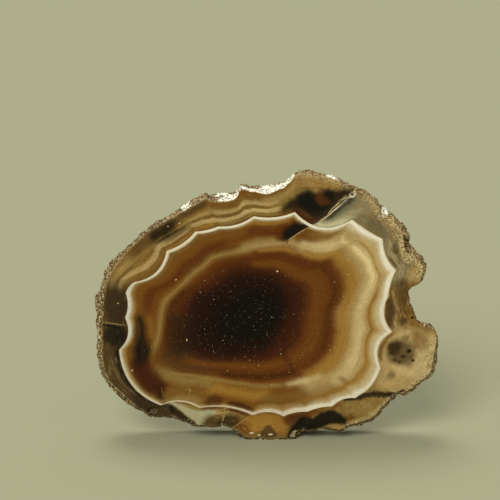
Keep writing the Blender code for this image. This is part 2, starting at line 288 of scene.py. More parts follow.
# Bands and lines over them, laid on in turn: colour, half width, softness, strength, the fade
# at each end in degrees, and the middle's path as (direction in degrees, band number).
BANDS = (
    # The golden and olive bands at the top, which sag a little between the white band's cusps.
    ("chestnut", 0.1, 0.7, 0.8, 5, ((86, 0.08), (100, 0.1), (117, 0.1))),
    ("umber", 0.13, 0.7, 0.85, 3, ((114, 0.09), (122, 0.13), (134, 0.18))),
    ("tan", 0.12, 0.8, 0.8, 4, ((73, 0.26), (82, 0.28), (91, 0.3))),
    ("beige", 0.07, 0.8, 0.85, 4, ((80, 0.44), (95, 0.43), (104, 0.41), (116, 0.46))),
    ("tan", 0.05, 0.8, 0.8, 3, ((114, 0.45), (121, 0.42), (128, 0.46))),
    ("ochre", 0.06, 0.5, 0.85, 4,
     ((84, 0.57), (95, 0.6), (104, 0.55), (115, 0.63), (121, 0.54), (128, 0.6))),
    ("umber", 0.014, 0.6, 0.55, 4,
     ((86, 0.54), (95, 0.57), (104, 0.52), (115, 0.6), (121, 0.51), (128, 0.56))),
    ("umber", 0.016, 0.6, 0.65, 4,
     ((84, 0.6), (95, 0.64), (104, 0.6), (115, 0.68), (121, 0.58), (128, 0.64))),
    ("beige", 0.085, 0.5, 0.95, 3,
     ((79, 0.72), (95, 0.74), (104, 0.71), (115, 0.77), (121, 0.68), (128.5, 0.72))),
    ("pale tan", 0.03, 0.9, 0.7, 3, ((84, 0.71), (95, 0.72), (105, 0.7), (115, 0.76), (122, 0.68))),
    ("olive tan", 0.05, 0.8, 0.8, 4, ((80, 0.89), (95, 0.9), (105, 0.87), (116, 0.9))),
    ("umber", 0.012, 0.7, 0.4, 4, ((80, 0.84), (95, 0.86), (105, 0.83), (116, 0.87))),
    ("amber", 0.06, 0.7, 0.9, 2, ((115.5, 0.9), (122, 0.86), (128, 0.9))),
    # The darker stretch at the upper left, with grey lines.
    ("ochre", 0.5, 0.2, 0.6, 6, ((126, 0.5), (150, 0.5))),
    ("grey tan", 0.01, 0.6, 0.7, 4, ((127, 0.45), (137, 0.42), (147, 0.46))),
    ("umber", 0.055, 0.6, 0.95, 6, ((126, 0.58), (137, 0.51), (149, 0.6))),
    ("dark brown", 0.016, 0.6, 0.7, 6, ((126, 0.57), (137, 0.49), (149, 0.59))),
    ("grey brown", 0.045, 0.8, 0.85, 6, ((125, 0.67), (136, 0.62), (148, 0.67))),
    ("grey tan", 0.035, 0.8, 0.9, 6, ((125, 0.75), (136, 0.74), (149, 0.78))),
    ("chestnut", 0.025, 0.8, 0.9, 5, ((125, 0.87), (137, 0.84), (148, 0.87))),
    ("amber", 0.03, 0.8, 0.8, 5, ((125, 0.93), (137, 0.91), (148, 0.94))),
    # The left shoulder, where the bands swing out to the rim.
    ("ochre", 0.09, 0.8, 0.9, 5, ((142, 0.52), (150, 0.55), (155, 0.53), (161, 0.38))),
    ("beige", 0.095, 0.9, 0.9, 7,
     ((138, 0.66), (145, 0.68), (150, 0.74), (155, 0.72), (159, 0.6), (161.5, 0.53), (165, 0.58),
      (169, 0.66), (174, 0.7))),
    ("chestnut", 0.018, 0.8, 0.9, 4,
     ((142, 0.78), (150, 0.83), (155, 0.82), (160, 0.7), (165, 0.62))),
    ("ochre", 0.06, 0.8, 0.9, 4, ((142, 0.87), (150, 0.91), (156, 0.9), (161, 0.8), (166, 0.7))),
    ("tan", 0.1, 0.9, 0.8, 6, ((152, 0.24), (163, 0.22), (174, 0.26))),
    ("umber", 0.014, 0.6, 0.8, 3, ((156, 0.41), (161, 0.36), (165, 0.4), (172, 0.52))),
    ("umber", 0.014, 0.6, 0.8, 3, ((157, 0.46), (161, 0.42), (165, 0.46), (172, 0.6))),
    # The dark left end, fibrous and lighter near the rim.
    ("dark brown", 0.64, 0.12, 0.95, 8, ((163, 0.5), (226, 0.5))),
    ("ochre", 0.22, 0.9, 0.4, 6, ((166, 0.14), (186, 0.14), (202, 0.14))),
    ("grey brown", 0.25, 0.9, 0.35, 5, ((192, 0.4), (204, 0.45), (216, 0.4))),
    ("umber", 0.1, 0.8, 0.9, 4, ((175, 0.03), (192, 0.08), (205, 0.12), (220, 0.06))),
    ("umber", 0.2, 0.8, 0.9, 4, ((189, 0.32), (197, 0.33), (206, 0.45), (213, 0.4))),
    ("grey brown", 0.07, 0.9, 0.5, 4, ((196, 0.56), (204, 0.58), (210, 0.56))),
    ("soot", 0.11, 0.8, 0.85, 3, ((189, 0.88), (200, 0.87), (222, 0.88))),
    ("black brown", 0.3, 0.7, 0.8, 2, ((210, 0.6), (222, 0.6))),
    ("dark red", 0.1, 0.8, 0.5, 3, ((171, 0.88), (183, 0.86))),
    # The bottom: a mottled brown stretch, then the clear amber lens.
    ("umber", 0.3, 0.6, 0.8, 2, ((239, 0.25), (247, 0.3), (257, 0.3))),
    ("grey brown", 0.05, 0.9, 0.9, 5, ((226, 0.03), (262, 0.03), (284, 0.03))),
    ("tan", 0.07, 0.8, 0.75, 2, ((241, 0.68), (248, 0.72), (256, 0.74))),
    ("russet", 0.26, 0.6, 0.9, 2.5, ((254, 0.34), (260, 0.4), (267, 0.5))),
    ("red brown", 0.05, 0.7, 0.9, 1.2, ((238.5, 0.87), (244.5, 0.88))),
    ("red brown", 0.07, 0.7, 0.9, 1.5, ((248.5, 0.9), (258, 0.92), (265, 0.95))),
    ("amber", 0.34, 0.35, 0.95, 8, ((260, 0.62), (272, 0.6), (288, 0.6))),
    ("russet", 0.16, 0.8, 0.95, 8, ((276, 0.84), (291, 0.84), (304, 0.9))),
    # The right-hand end: tan and granular, golden at the rim.
    ("russet", 0.16, 0.8, 0.9, 3, ((-52, 0.22), (-47, 0.26), (-42, 0.25))),
    ("tan", 0.07, 0.9, 0.9, 3, ((-52, 0.05), (-42, 0.07), (-33, 0.08))),
    ("olive tan", 0.6, 0.2, 0.8, 3, ((-49, 0.5), (-28, 0.5))),
    ("beige", 0.6, 0.2, 0.85, 5, ((-34, 0.5), (-2, 0.5))),
    ("sand", 0.15, 0.8, 0.6, 6, ((-24, 0.14), (-14, 0.2), (-5, 0.14))),
    ("grey brown", 0.2, 0.8, 0.75, 3, ((-21, 0.62), (-15, 0.55), (-8, 0.62))),
    ("beige", 0.07, 0.9, 0.8, 3, ((-33, 0.8), (-24, 0.84), (-17, 0.93))),
    ("grey brown", 0.08, 0.9, 0.5, 2, ((-27, 0.68), (-22, 0.68))),
    ("chestnut", 0.035, 0.8, 0.85, 3, ((-22, 0.96), (-12, 0.95), (-5, 0.97))),
    ("ochre", 0.6, 0.2, 0.9, 2.5, ((-3, 0.5), (13, 0.5))),
    ("umber", 0.2, 0.8, 0.5, 3, ((0, 0.25), (10, 0.25))),
    ("grey tan", 0.035, 0.9, 0.95, 1.5,
     ((-6, 0.92), (-3, 0.78), (1, 0.62), (5, 0.58), (8, 0.64), (11, 0.82), (13, 0.96))),
    ("grey brown", 0.6, 0.2, 0.95, 2.5, ((12, 0.5), (50, 0.5))),
    ("grey tan", 0.6, 0.2, 0.4, 2.5, ((14, 0.5), (50, 0.5))),
    ("tan", 0.24, 0.8, 0.9, 2.5, ((12.5, 0.16), (17, 0.22), (21, 0.14))),
    ("tan", 0.22, 0.9, 0.7, 4, ((20, 0.15), (35, 0.15), (50, 0.1))),
    ("grey tan", 0.14, 0.9, 0.9, 3, ((15, 0.75), (20, 0.8), (29, 0.8), (33, 0.7))),
    ("umber", 0.05, 0.8, 0.85, 1.2, ((26, 0.5), (28.5, 0.66))),
    ("umber", 0.045, 0.8, 0.8, 2, ((20.5, 0.97), (23.5, 0.88), (27, 0.97))),
    ("teal grey", 0.1, 0.9, 0.6, 2, ((33, 0.9), (36, 0.72), (40, 0.62), (44, 0.72), (47, 0.85))),
    ("umber", 0.08, 0.9, 0.35, 2, ((36, 0.6), (40, 0.45), (44, 0.55))),
    ("celadon", 0.36, 0.6, 0.8, 2.5, ((47, 0.76), (53, 0.76), (63, 0.8))),
    ("cream", 0.12, 1, 0.6, 3, ((48, 0.92), (55, 0.92), (64, 0.94))),
    ("grey brown", 0.18, 0.8, 0.6, 2, ((46, 0.3), (53, 0.3))),
    # The crown of the top lobe.
    ("tan", 0.2, 0.9, 0.8, 4, ((58, 0.2), (66, 0.24), (76, 0.22))),
    ("amber", 0.1, 0.9, 0.6, 3, ((60, 0.08), (66, 0.1), (72, 0.08))),
    ("ochre", 0.03, 0.8, 0.7, 3, ((62, 0.24), (68, 0.28), (76, 0.42))),
    # Sugary crystals near the rim.
    ("crystals", 0.15, 0.9, 0.75, 4, ((12, 0.05), (25, 0.12), (40, 0.1), (53, 0.06))),
    ("crystals", 0.12, 0.9, 0.6, 4, ((-56, 0), (-45, 0), (-25, 0.02), (-5, 0.02))),
    ("crystals", 0.08, 0.9, 0.6, 4, ((54, 0.02), (66, 0.02), (80, 0))),
    ("crystals", 0.05, 0.9, 0.5, 6, ((100, 0), (150, 0), (200, 0), (235, 0))),
    # Inside the white band on the right: golden, then broad beige, then a pale line.
    ("beige", 0.6, 0.2, 0.95, 10, ((-66, 2.5), (-30, 2.48), (0, 2.5), (30, 2.5), (60, 2.6))),
    ("sand", 0.08, 1, 0.25, 6, ((-40, 2.04), (-20, 2.06), (0, 2.08), (14, 2.1))),
    ("amber", 0.12, 1, 0.9, 8,
     ((-70, 2.36), (-40, 2.36), (-22, 2.36), (-5, 2.42), (6, 2.46), (14, 2.46), (19, 2.6))),
    ("chestnut", 0.04, 1, 0.5, 5, ((-14, 2.42), (-4, 2.48), (10, 2.52), (15, 2.54))),
    ("ochre", 0.35, 0.9, 0.55, 9, ((-70, 2.5), (-52, 2.5), (-38, 2.5))),
    ("pale tan", 0.24, 0.9, 0.95, 8,
     ((-46, 2.8), (-15, 2.84), (0, 3.02), (12, 2.98), (20, 2.92), (30, 2.9), (42, 2.88))),
    ("sand", 0.16, 1, 0.75, 8,
     ((-34, 2.84), (-10, 2.92), (4, 3.06), (14, 3.02), (20, 2.98), (30, 2.94), (42, 2.92))),
    ("amber", 0.02, 1, 0.4, 5, ((-32, 2.64), (-12, 2.62), (3, 2.64), (14, 2.66))),
    ("straw", 0.03, 1, 0.8, 4, ((16, 3), (24, 3.02), (33, 3.03), (41, 3))),
    ("pale tan", 0.25, 0.9, 0.85, 4, ((17, 2.25), (24, 2.3), (33, 2.32), (43, 2.22))),
    ("amber", 0.1, 1, 0.6, 5, ((15, 2.6), (22, 2.7), (34, 2.7), (42, 2.6))),
    ("straw", 0.1, 1, 0.7, 3, ((40, 3.02), (43, 2.82), (45, 2.6), (47.5, 2.3))),
    ("ochre", 0.18, 1, 0.95, 5, ((46, 2.34), (53, 2.34), (58, 2.36), (64, 2.36))),
    ("sand", 0.18, 1, 0.85, 5, ((42, 2.88), (52, 2.88), (66, 2.94))),
    ("tan", 0.1, 1, 0.8, 6, ((-48, 3.1), (-20, 3.1), (0, 3.12), (20, 3.22), (38, 3.22), (48, 3.1))),
    ("amber", 0.09, 1, 0.9, 8,
     ((-58, 3.17), (-20, 3.17), (0, 3.22), (20, 3.28), (38, 3.27), (47, 3.16), (64, 3.15))),
    ("red brown", 0.09, 1, 0.8, 8,
     ((-56, 3.39), (-35, 3.42), (-15, 3.44), (3, 3.42), (20, 3.42), (38, 3.41), (48, 3.34),
      (66, 3.32))),
    ("dark red", 0.03, 1, 0.5, 8,
     ((-36, 3.38), (-8, 3.42), (3, 3.45), (20, 3.48), (38, 3.48), (50, 3.38))),
    ("russet", 0.12, 1, 0.9, 9,
     ((-62, 3.52), (-26, 3.56), (0, 3.6), (20, 3.64), (45, 3.6), (104, 3.6))),
    ("straw", 0.045, 1, 0.5, 8, ((-74, 3.08), (-60, 3.1), (-50, 3.1), (-40, 3.1))),
    # The top: a dark stain and a pale double ridge.
    ("red brown", 0.18, 1, 0.7, 8, ((74, 2.48), (84, 2.5), (92, 2.44), (104, 2.36))),
    ("amber", 0.06, 1, 0.7, 5, ((72, 2.16), (88, 2.16), (100, 2.14))),
    ("olive tan", 0.12, 1, 0.8, 9, ((62, 2.84), (84, 2.86), (94, 2.84), (110, 2.84))),
    ("beige", 0.11, 1, 0.65, 12, ((52, 3), (70, 3.02), (85, 3.02), (94, 3), (114, 3.02))),
    ("amber", 0.06, 1, 0.7, 5, ((60, 3.2), (80, 3.2), (96, 3.16))),
    ("red brown", 0.08, 1, 0.7, 6, ((62, 3.36), (75, 3.36), (98, 3.38))),
    # The brown upper left, with a soft ridge.
    ("black brown", 0.03, 0.9, 0.6, 5, ((104, 2.06), (128, 2.06), (150, 2.04), (166, 2.06))),
    ("chestnut", 0.12, 1, 0.7, 8, ((98, 2.3), (125, 2.32), (160, 2.25), (176, 2.12))),
    ("red brown", 0.14, 1, 0.85, 8,
     ((110, 2.62), (126, 2.66), (140, 2.68), (156, 2.64), (168, 2.52), (180, 2.48))),
    ("umber", 0.04, 1, 0.5, 6, ((104, 2.86), (120, 2.88), (132, 2.84), (152, 2.88))),
    ("olive tan", 0.12, 1, 0.55, 9,
     ((94, 3.04), (110, 3.08), (122, 3.06), (128, 3.01), (142, 3.04), (155, 3.04), (172, 3.02),
      (184, 2.99), (203, 2.98))),
    ("tan", 0.04, 1, 0.3, 9, ((98, 3.05), (112, 3.1), (124, 3.04), (140, 3.03), (200, 2.98))),
    ("dark red", 0.12, 1, 0.6, 8, ((156, 3.36), (172, 3.32), (198, 3.32))),
    # The lower left and the bottom: stains, then olive and amber bands.
    ("black brown", 0.06, 0.9, 0.9, 4, ((177, 2.24), (186, 2.34), (193, 2.44), (201, 2.56))),
    ("amber", 0.14, 1, 0.35, 5, ((177, 2.6), (186, 2.66), (194, 2.8))),
    ("dark red", 0.28, 0.8, 0.9, 4, ((196, 2.42), (208, 2.42), (218, 2.3))),
    ("ochre", 0.34, 0.9, 0.8, 5, ((215, 2.42), (228, 2.42), (242, 2.62))),
    ("olive tan", 0.18, 1, 0.85, 7, ((203, 2.96), (220, 2.88), (238, 2.98))),
    ("olive tan", 0.12, 1, 0.8, 4, ((219.5, 2.1), (228, 2.14), (237, 2.14))),
    ("umber", 0.3, 1, 0.5, 6, ((196, 3.4), (210, 3.42), (228, 3.42))),
    ("amber", 0.24, 1, 0.95, 8, ((230, 2.82), (248, 2.7), (262, 2.7), (280, 2.78))),
    ("ochre", 0.24, 1, 0.85, 8, ((266, 2.45), (282, 2.55), (304, 2.58))),
    ("tan", 0.1, 1, 0.6, 5, ((264, 2.12), (280, 2.14), (298, 2.14))),
    ("olive tan", 0.05, 1, 0.8, 6, ((208, 3.06), (235, 3.1), (260, 3.1), (290, 3.08))),
    ("dark red", 0.07, 1, 0.75, 8, ((230, 3.3), (260, 3.32), (282, 3.31), (306, 3.32))),
    ("russet", 0.12, 1, 0.85, 8, ((206, 3.6), (235, 3.62), (265, 3.6), (302, 3.52))),
    ("black brown", 0.3, 1, 0.7, 6, ((174, 3.6), (190, 3.62), (208, 3.82))),
)
INNER_BANDS_FROM = 1.5
WAVER = 0.012
PATH_STEP = 0.5
PATH_SOFTENING = 7

# The fracture's line on the face in pixels, from its inner tip to the rim, and two far corners
# that close the ground to its right.
FRACTURE_LINE = ((288, 240), (309, 226.8), (320, 221.3), (329, 214.6), (338, 207.2),
                 (346, 200.2), (351, 195.8), (356, 190.5))
FRACTURE_RIGHT = ((392, 190), (392, 262), (288, 262))

# Outlined patches by side of the fracture: colour, softness in pixels, strength and outline
# in pixels.
PATCHES = {
    "left": (
        ("black brown", 9, 0.97,
         ((281, 212), (286, 203), (294, 197), (301, 192), (308, 190), (315, 193), (321, 191),
          (328, 189.5), (336, 190), (343, 188), (350, 189), (360, 190), (360, 204), (348, 212),
          (336, 220), (326, 224), (315, 221), (306, 216), (299, 210), (291, 211))),
        ("soot", 9, 0.95,
         ((296, 201), (302, 193), (310, 191), (315, 196), (322, 202), (330, 204), (326, 211),
          (316, 214), (305, 210))),
        ("soot", 6, 0.9, ((321, 196), (327, 190), (334, 192), (334, 199), (327, 202))),
        ("dark red", 5, 0.85,
         ((291, 208), (300, 210), (306, 215), (313, 218), (322, 219), (316, 225), (308, 224),
          (300, 219))),
        ("red brown", 5, 0.7, ((316, 201), (319, 189), (324, 196), (331, 203), (322, 205))),
        ("crystals", 3, 0.35,
         ((333, 208), (338, 202), (343, 197), (350, 194), (350, 199), (343, 204), (335, 211))),
        ("red brown", 6, 0.85, ((275, 232), (284, 223), (291, 230), (284, 241), (276, 240))),
        ("dark red", 6, 0.8, ((280, 234), (286, 226), (296, 222), (296, 238), (288, 243), (281, 240))),
        ("soot", 6, 0.97,
         ((283, 235), (288, 228), (295, 222), (303, 223), (313, 226), (306, 232), (297, 239),
          (289, 242))),
    ),
    "right": (
        ("grey tan", 8, 0.6, ((346, 196), (360, 194), (371, 207), (364, 217), (352, 206))),
        ("teal grey", 7, 0.95,
         ((321, 222), (334, 210), (346, 199), (354, 195), (357, 202), (349, 210), (340, 217),
          (330, 222))),
        ("dark brown", 4.5, 0.9,
         ((326, 219), (336, 208), (347, 197), (353, 194), (353, 201), (345, 207), (337, 213.5),
          (330, 219))),
    ),
    "both": (
        ("black brown", 3, 0.93,
         ((341, 399.5), (352, 396.5), (362, 393), (373, 391.3), (385, 391.6), (399, 392.6),
          (392, 397.5), (380, 397), (368, 397.8), (356, 401))),
        ("umber", 7, 0.95,
         ((386, 300), (391, 298), (395, 306), (395, 316), (392, 323), (393, 329), (387, 326),
          (384, 320), (386, 311))),
        ("umber", 6, 0.75, ((397, 284), (404, 278), (409, 290), (407, 301), (401, 302), (397, 294))),
        ("umber", 4, 0.85, ((399, 320), (402, 316), (407, 318), (406, 324), (401, 325))),
        ("umber", 8, 0.6,
         ((386, 346), (392, 341), (401, 342), (411, 348), (413, 358), (402, 364), (392, 362), (387, 355))),
        ("dark brown", 5, 0.95,
         ((387, 348), (391, 343), (398, 342.5), (402.5, 345.5), (399, 351), (396, 356), (390, 354.5))),
        ("chestnut", 7, 0.55, ((411, 330), (419, 332), (427, 340), (427, 350), (418, 349))),
        ("dark red", 10, 0.7,
         ((283, 417), (298, 413), (310, 414), (302, 423), (293, 438), (288, 436), (286, 426))),
        ("soot", 4.5, 0.97,
         ((287, 440), (290, 430), (295, 422.5), (300, 418), (307, 416.5), (314, 417.4), (318, 414),
          (325, 411), (333, 410.6), (340, 413), (346, 418), (345, 425), (336, 424), (328, 425),
          (320, 429), (312, 431.5), (305, 436), (296, 434), (293, 440))),
        ("crystals", 3, 0.85,
         ((398, 240), (403, 235), (409, 242), (413, 252), (411, 263), (404, 262), (400, 252))),
        ("crystals", 2, 0.7, ((291, 434), (296, 430), (299, 434), (297, 439), (291, 439))),
        ("tan", 4, 0.7, ((312, 432), (322, 428.5), (332, 424.5), (344, 427), (346, 432), (312, 436))),
        ("dark brown", 5, 0.9,
         ((134, 393), (146, 401), (158, 403.5), (170, 403), (175, 408), (167, 421), (139, 413))),
        ("celadon", 3.5, 0.93,
         ((167, 402), (180, 404), (190, 407.5), (201, 410), (217, 410), (212, 416.5), (206, 420),
          (201, 427), (195, 425), (187, 417), (178, 409))),
        ("olive tan", 2.5, 0.8, ((182, 403.5), (192, 405.5), (202, 409), (193, 410), (186, 407))),
        ("soot", 3, 0.85,
         ((169, 404), (177, 407.5), (186, 415.5), (197, 425), (190, 428), (179, 419), (170, 411))),
        ("dark red", 6, 0.65, ((205, 405), (208, 396), (217, 395), (223, 400), (220, 406), (210, 407))),
        ("dark red", 3, 0.85,
         ((226, 403), (236, 402), (246, 405), (255, 411), (246, 410), (235, 406.5))),
        ("umber", 5, 0.6, ((200, 429), (206, 416), (212, 414), (217, 420), (219, 430))),
        ("black brown", 6, 0.6, ((216, 423), (224, 415), (233, 414), (241, 420), (235, 427), (219, 428))),
        ("umber", 2.5, 0.85,
         ((260.5, 436), (262, 430), (265, 426.5), (269, 425), (272.5, 427), (275, 431), (276, 436))),
        ("soot", 10, 0.88, ((149, 236), (156, 229), (163, 224), (170, 220), (176, 222), (175, 229),
                              (168, 236), (161, 240), (152, 241))),
    ),
}
PATCH_REACH = 3.0
PATCH_WARP = 0.22
PATCH_WARP_SHARE = 0.4
FRACTURE_EDGE = (-0.05, 0.07)

# Soft stains: colour, place, radii in pixels, turn in degrees, softness of the edge, strength.
STAINS = (
    ("dark brown", (115, 306), (12, 19), 8, 0.6, 0.85),
    ("soot", (115, 336), (13, 11), 0, 0.6, 0.8),
    ("dark brown", (146, 241), (22, 7), 43, 0.9, 0.5),
    ("soot", (142, 352), (9, 17), -4, 0.9, 0.9),
    ("black brown", (140, 330), (6.5, 16), 0, 0.9, 0.7),
    ("dark red", (149, 379), (12, 20), 38, 0.8, 0.75),
    ("soot", (160, 393), (4.5, 9), 8, 0.7, 0.85),
    ("grey brown", (377, 229), (13, 4.5), -46, 0.8, 0.5),
    ("umber", (396, 249), (4.5, 6), 20, 0.8, 0.6),
    ("grey brown", (405, 338), (4.5, 4), 0, 1, 0.7),
    ("grey brown", (391, 376), (5, 3.5), 0, 1, 0.5),
    ("straw", (304, 382.5), (13, 2.4), 13, 1.4, 0.5),
    ("russet", (343.5, 380), (5.5, 2.8), -28, 1.2, 0.5),
    ("grey brown", (404, 352), (13, 11), 20, 0.8, 0.35),
    ("sand", (405, 371), (11, 5), -20, 1.2, 0.5),
    ("sand", (404, 333), (8, 3), 20, 1.2, 0.4),
    ("amber", (265, 420), (22, 6), 0, 0.9, 0.6),
)
STAIN_WARP = 0.30
STAIN_WARP_SHARE = 0.35
STAIN_WARP_SIZE = 1.6
STAIN_WARP_SEED = 3.0

# Small sharp marks: colour, place, radii in pixels and turn in degrees.
FINE_MARKS = (
    ("sand", (325, 217.6), (6.5, 0.45), 33),
    ("cream", (337, 208), (9, 0.45), 40),
    ("cream", (347.8, 198.7), (5.5, 0.5), 41),
    ("cream", (352.8, 194.2), (3.4, 2.5), 50),
    ("soot", (352.8, 194.2), (2.1, 1.2), 50),
    ("sand", (345, 198.2), (4.5, 0.5), 25),
    ("sand", (330.5, 211), (4.5, 0.5), 55),
    ("sand", (336.5, 205), (4, 0.5), 45),
    ("beige", (298, 233.6), (11.5, 0.4), 33),
    ("tan", (113.5, 323.6), (12.5, 0.35), -9),
    ("soot", (111, 326.3), (11, 0.9), -10),
    ("tan", (242, 421.5), (11.5, 0.35), 35),
    ("beige", (223.5, 417), (10.5, 0.3), 80),
    ("tan", (226, 414), (9.5, 0.3), 60),
    ("tan", (220.5, 413.5), (6, 0.3), -62),
    ("beige", (222, 409.5), (7, 0.3), 15),
    ("cream", (251.5, 433), (2, 0.7), 0),
    ("cream", (259, 435), (1.3, 0.6), 0),
    ("cream", (270.5, 434.4), (2.1, 0.7), 5),
    # The dark marks on the lower right lobe are small pits, drawn only as painted shade.
    ("black brown", (409, 351), (2.4, 1.8), 20),
    ("dark brown", (403, 356.3), (1.9, 1.6), 0),
    ("umber", (397.5, 353), (1.9, 1.7), 0),
    ("umber", (399.5, 362), (1.8, 1.5), 0),
    ("umber", (395, 360), (1.8, 1.7), 0),
    ("dark brown", (412.8, 360.4), (1.8, 1.4), 0),
    ("umber", (406, 356.5), (0.9, 0.9), 0),
    ("umber", (410, 357.5), (1, 0.8), 0),
    ("soot", (412.3, 317.6), (1.5, 1.3), 0),
    ("sand", (118, 303.4), (0.7, 0.6), 0),
    ("cream", (168, 226.5), (0.5, 0.5), 0),
    ("sand", (179.5, 223.4), (0.8, 0.6), 0),
    ("cream", (132.3, 370.4), (0.6, 0.6), 0),
    ("cream", (277.3, 271.3), (0.8, 0.7), 0),
    ("straw", (176, 279.8), (0.9, 0.5), 30),
    ("ochre", (162.5, 392), (5, 0.4), -75),
    ("tan", (190, 391), (2, 0.4), 60),
    ("tan", (189.5, 389.5), (2, 0.4), -50),
    ("sand", (186.8, 340), (0.5, 1.2), 0),
)
FINE_MARK_EDGE = (2.2, 0.2)

# White quartz crystals in the rim's top hollows, painted nearly white where the light from above
# falls on them: partly their own colour, partly painted highlight. Place, radii in pixels, turn
# and softness, and how much thinner they grow towards the back.
DRUSE_AND_HIGHLIGHTS = (
    ((224, 196), (17, 7), -12, 1.5),
    ((268, 188), (23, 8), 0, 1.5),
    ((286, 181), (8, 7), 50, 1.5),
    ((184, 207), (9, 4), -30, 1.5),
    ((335, 178), (13, 4), 18, 1.5),
    ((384, 214), (15, 4), 46, 1.5),
)
DRUSE_THINNING = 0.55

# Fine specks on the face: colour, spacing and size in millimetres, and strength.
DUST = (
    ("straw", 0.3, 0.034, 0.38),
    ("cream", 0.9, 0.052, 0.95),
)

# How fibrous the rind is, by direction in degrees, and its fibres' spread in millimetres.
FIBROUS = ((-60, 0.4), (-45, 0.4), (-28, 0.3), (-10, 0.35), (5, 0.8), (14, 0.9), (34, 0.8), (48, 0.5),
           (56, 0.25), (75, 0.15), (130, 0.2), (165, 0.3), (186, 0.4), (195, 0.55), (222, 0.6),
           (238, 0.7), (262, 0.7), (267, 0.2), (283, 0.3), (291, 0.6))
FIBRE_ROUND = 9.0
FIBRE_ACROSS = 6.5

# How pale the rim's crystals are, by direction in degrees, from 0 to 1.
RIM_PALENESS = ((-60, 0.5), (-40, 0.6), (-20, 0.7), (5, 0.6), (20, 0.9), (50, 0.85), (62, 0.6),
                (80, 0.5), (100, 0.45), (125, 0.2), (160, 0.25), (180, 0.4), (198, 0.35), (215, 0.1),
                (240, 0.05), (290, 0.1))

# Noises in the stone: size in millimetres, detail and roughness. Line noises have a scale.
NOISES = {
    "grains": (0.31, 3.0, 0.65),
    "waver": (2.6, 3.0, 0.5),
    "warp": (1.0, 4.0, 0.6),
    "fibres": (0.55, 4.0, 0.65),
    "clouds": (2.2, 3.0, 0.6),
    "mottle": (0.45, 3.0, 0.6),
    "broken stone": (0.35, 3.0, 0.65),
    "polish": (1.1, 3.0, 0.5),
    "coarse crystals": (1.1, 3.0, 0.6),
    "fine crystals": (0.42, 3.0, 0.6),
    "ragged druse": (2.2, 4.0, 0.65),
    "haze": (3.0, 3.0, 0.5),
    "sawn grain": (0.3, 3.0, 0.6),
}
BAND_LINES = (14.0, 3.0)
SAW_LINES = (1.6, 3.0)
SAW_CENTRE = (-95.0, 0.0, 70.0)
FLATTEN_DEPTH = (1.0, 1e4, 1.0)
QUARTZ_IOR = 1.54

# The stage.
FLOOR_COLOUR = (0.378, 0.378, 0.240, 1.0)
FLOOR_SIZE = 8.0
SKY_COLOUR = (0.80, 0.82, 0.78, 1.0)
SKY_STRENGTH = 0.35
LIGHT_COLOUR = (1.0, 0.98, 0.94)

# Lights: name, the direction that each comes from, the angle that it fills, and strength.
LIGHTS = (
    ("front light", (-0.35, -1.0, 0.75), 30.0, 2.5),
    ("top light", (-0.15, 0.35, 1.0), 30.0, 1.3),
)


def srgb_to_linear(value):
    value /= 255.0
    if value <= 0.04045:
        return value / 12.92
    return ((value + 0.055) / 1.055) ** 2.4


def stone_colour(name):
    """A named colour of the stone as linear red, green, blue and alpha."""
    return tuple(srgb_to_linear(value) for value in STONE_COLOURS[name]) + (1.0,)


def on_face(place):
    """The point (x, z) of the polished face that the photograph shows at a pixel."""
    focal = PHOTO_SIZE * LENS / SENSOR
    across = place[0] - PHOTO_SIZE / 2
    up = PHOTO_SIZE / 2 - place[1]
    raised = up * CAMERA_DISTANCE / (focal * math.cos(CAMERA_DOWN) + up * math.sin(CAMERA_DOWN))
    away = CAMERA_DISTANCE - raised * math.sin(CAMERA_DOWN)
    return (CAMERA_AIM.x + across * away / focal, CAMERA_AIM.z + raised)


BAND_CENTRE = np.array(on_face(BAND_CENTRE_PLACE))


def curve_point(before, start, end, after, amount):
    """A point on the centripetal curve from start to end."""
    knots = [0.0]
    for first, second in ((before, start), (start, end), (end, after)):
        knots.append(knots[-1] + math.sqrt((second - first).length))
    place = knots[1] + (knots[2] - knots[1]) * amount

    def between(first, second, low, high):
        return first.lerp(second, (place - low) / (high - low))

    a = between(before, start, knots[0], knots[1])
    b = between(start, end, knots[1], knots[2])
    c = between(end, after, knots[2], knots[3])
    return between(between(a, b, knots[0], knots[2]), between(b, c, knots[1], knots[3]),
                   knots[1], knots[2])


def closed_curve(corners, count):
    """Points spaced evenly along the smooth closed curve through the given corners."""
    corners = [Vector(corner) for corner in corners]
    total = len(corners)
    fine = []
    for i in range(total):
        four = [corners[(i + k) % total] for k in (-1, 0, 1, 2)]
        fine += [curve_point(*four, step / CURVE_STEPS) for step in range(CURVE_STEPS)]
    reach = [0.0]
    for i, point in enumerate(fine):
        reach.append(reach[-1] + (fine[(i + 1) % len(fine)] - point).length)
    spaced = []
    i = 0
    for k in range(count):
        target = reach[-1] * k / count
        while reach[i + 1] < target:
            i += 1
        part = (target - reach[i]) / (reach[i + 1] - reach[i])
        spaced.append(fine[i].lerp(fine[(i + 1) % len(fine)], part))
    return spaced


def outward_normals(ring, spread):
    """Directions out of a clockwise ring, smoothed over a few points each way."""
    normals = []
    for i in range(len(ring)):
        along = ring[(i + spread) % len(ring)] - ring[i - spread]
        normals.append(Vector((-along.y, along.x)).normalized())
    return normals


def smooth_step(value):
    value = min(max(value, 0.0), 1.0)
    return value * value * (3.0 - 2.0 * value)


def smooth_steps(values):
    """The smooth step of each value of an array."""
    values = np.clip(values, 0.0, 1.0)
    return values * values * (3.0 - 2.0 * values)


def stand_out_at(point):
    """The rind's stand-out at its widest ring and at the back, for a point of the outline."""
    angle = math.degrees(math.atan2(point.y - CENTRE[1], point.x - CENTRE[0]))
    rows = RIND_STAND_OUT
    for i, row in enumerate(rows):
        after = rows[(i + 1) % len(rows)]
        gap = (after[0] - row[0]) % 360
        ahead = (angle - row[0]) % 360
        if ahead < gap:
            part = smooth_step(ahead / gap)
            return [row[k] + (after[k] - row[k]) * part for k in (1, 2)]
    return rows[0][1:]


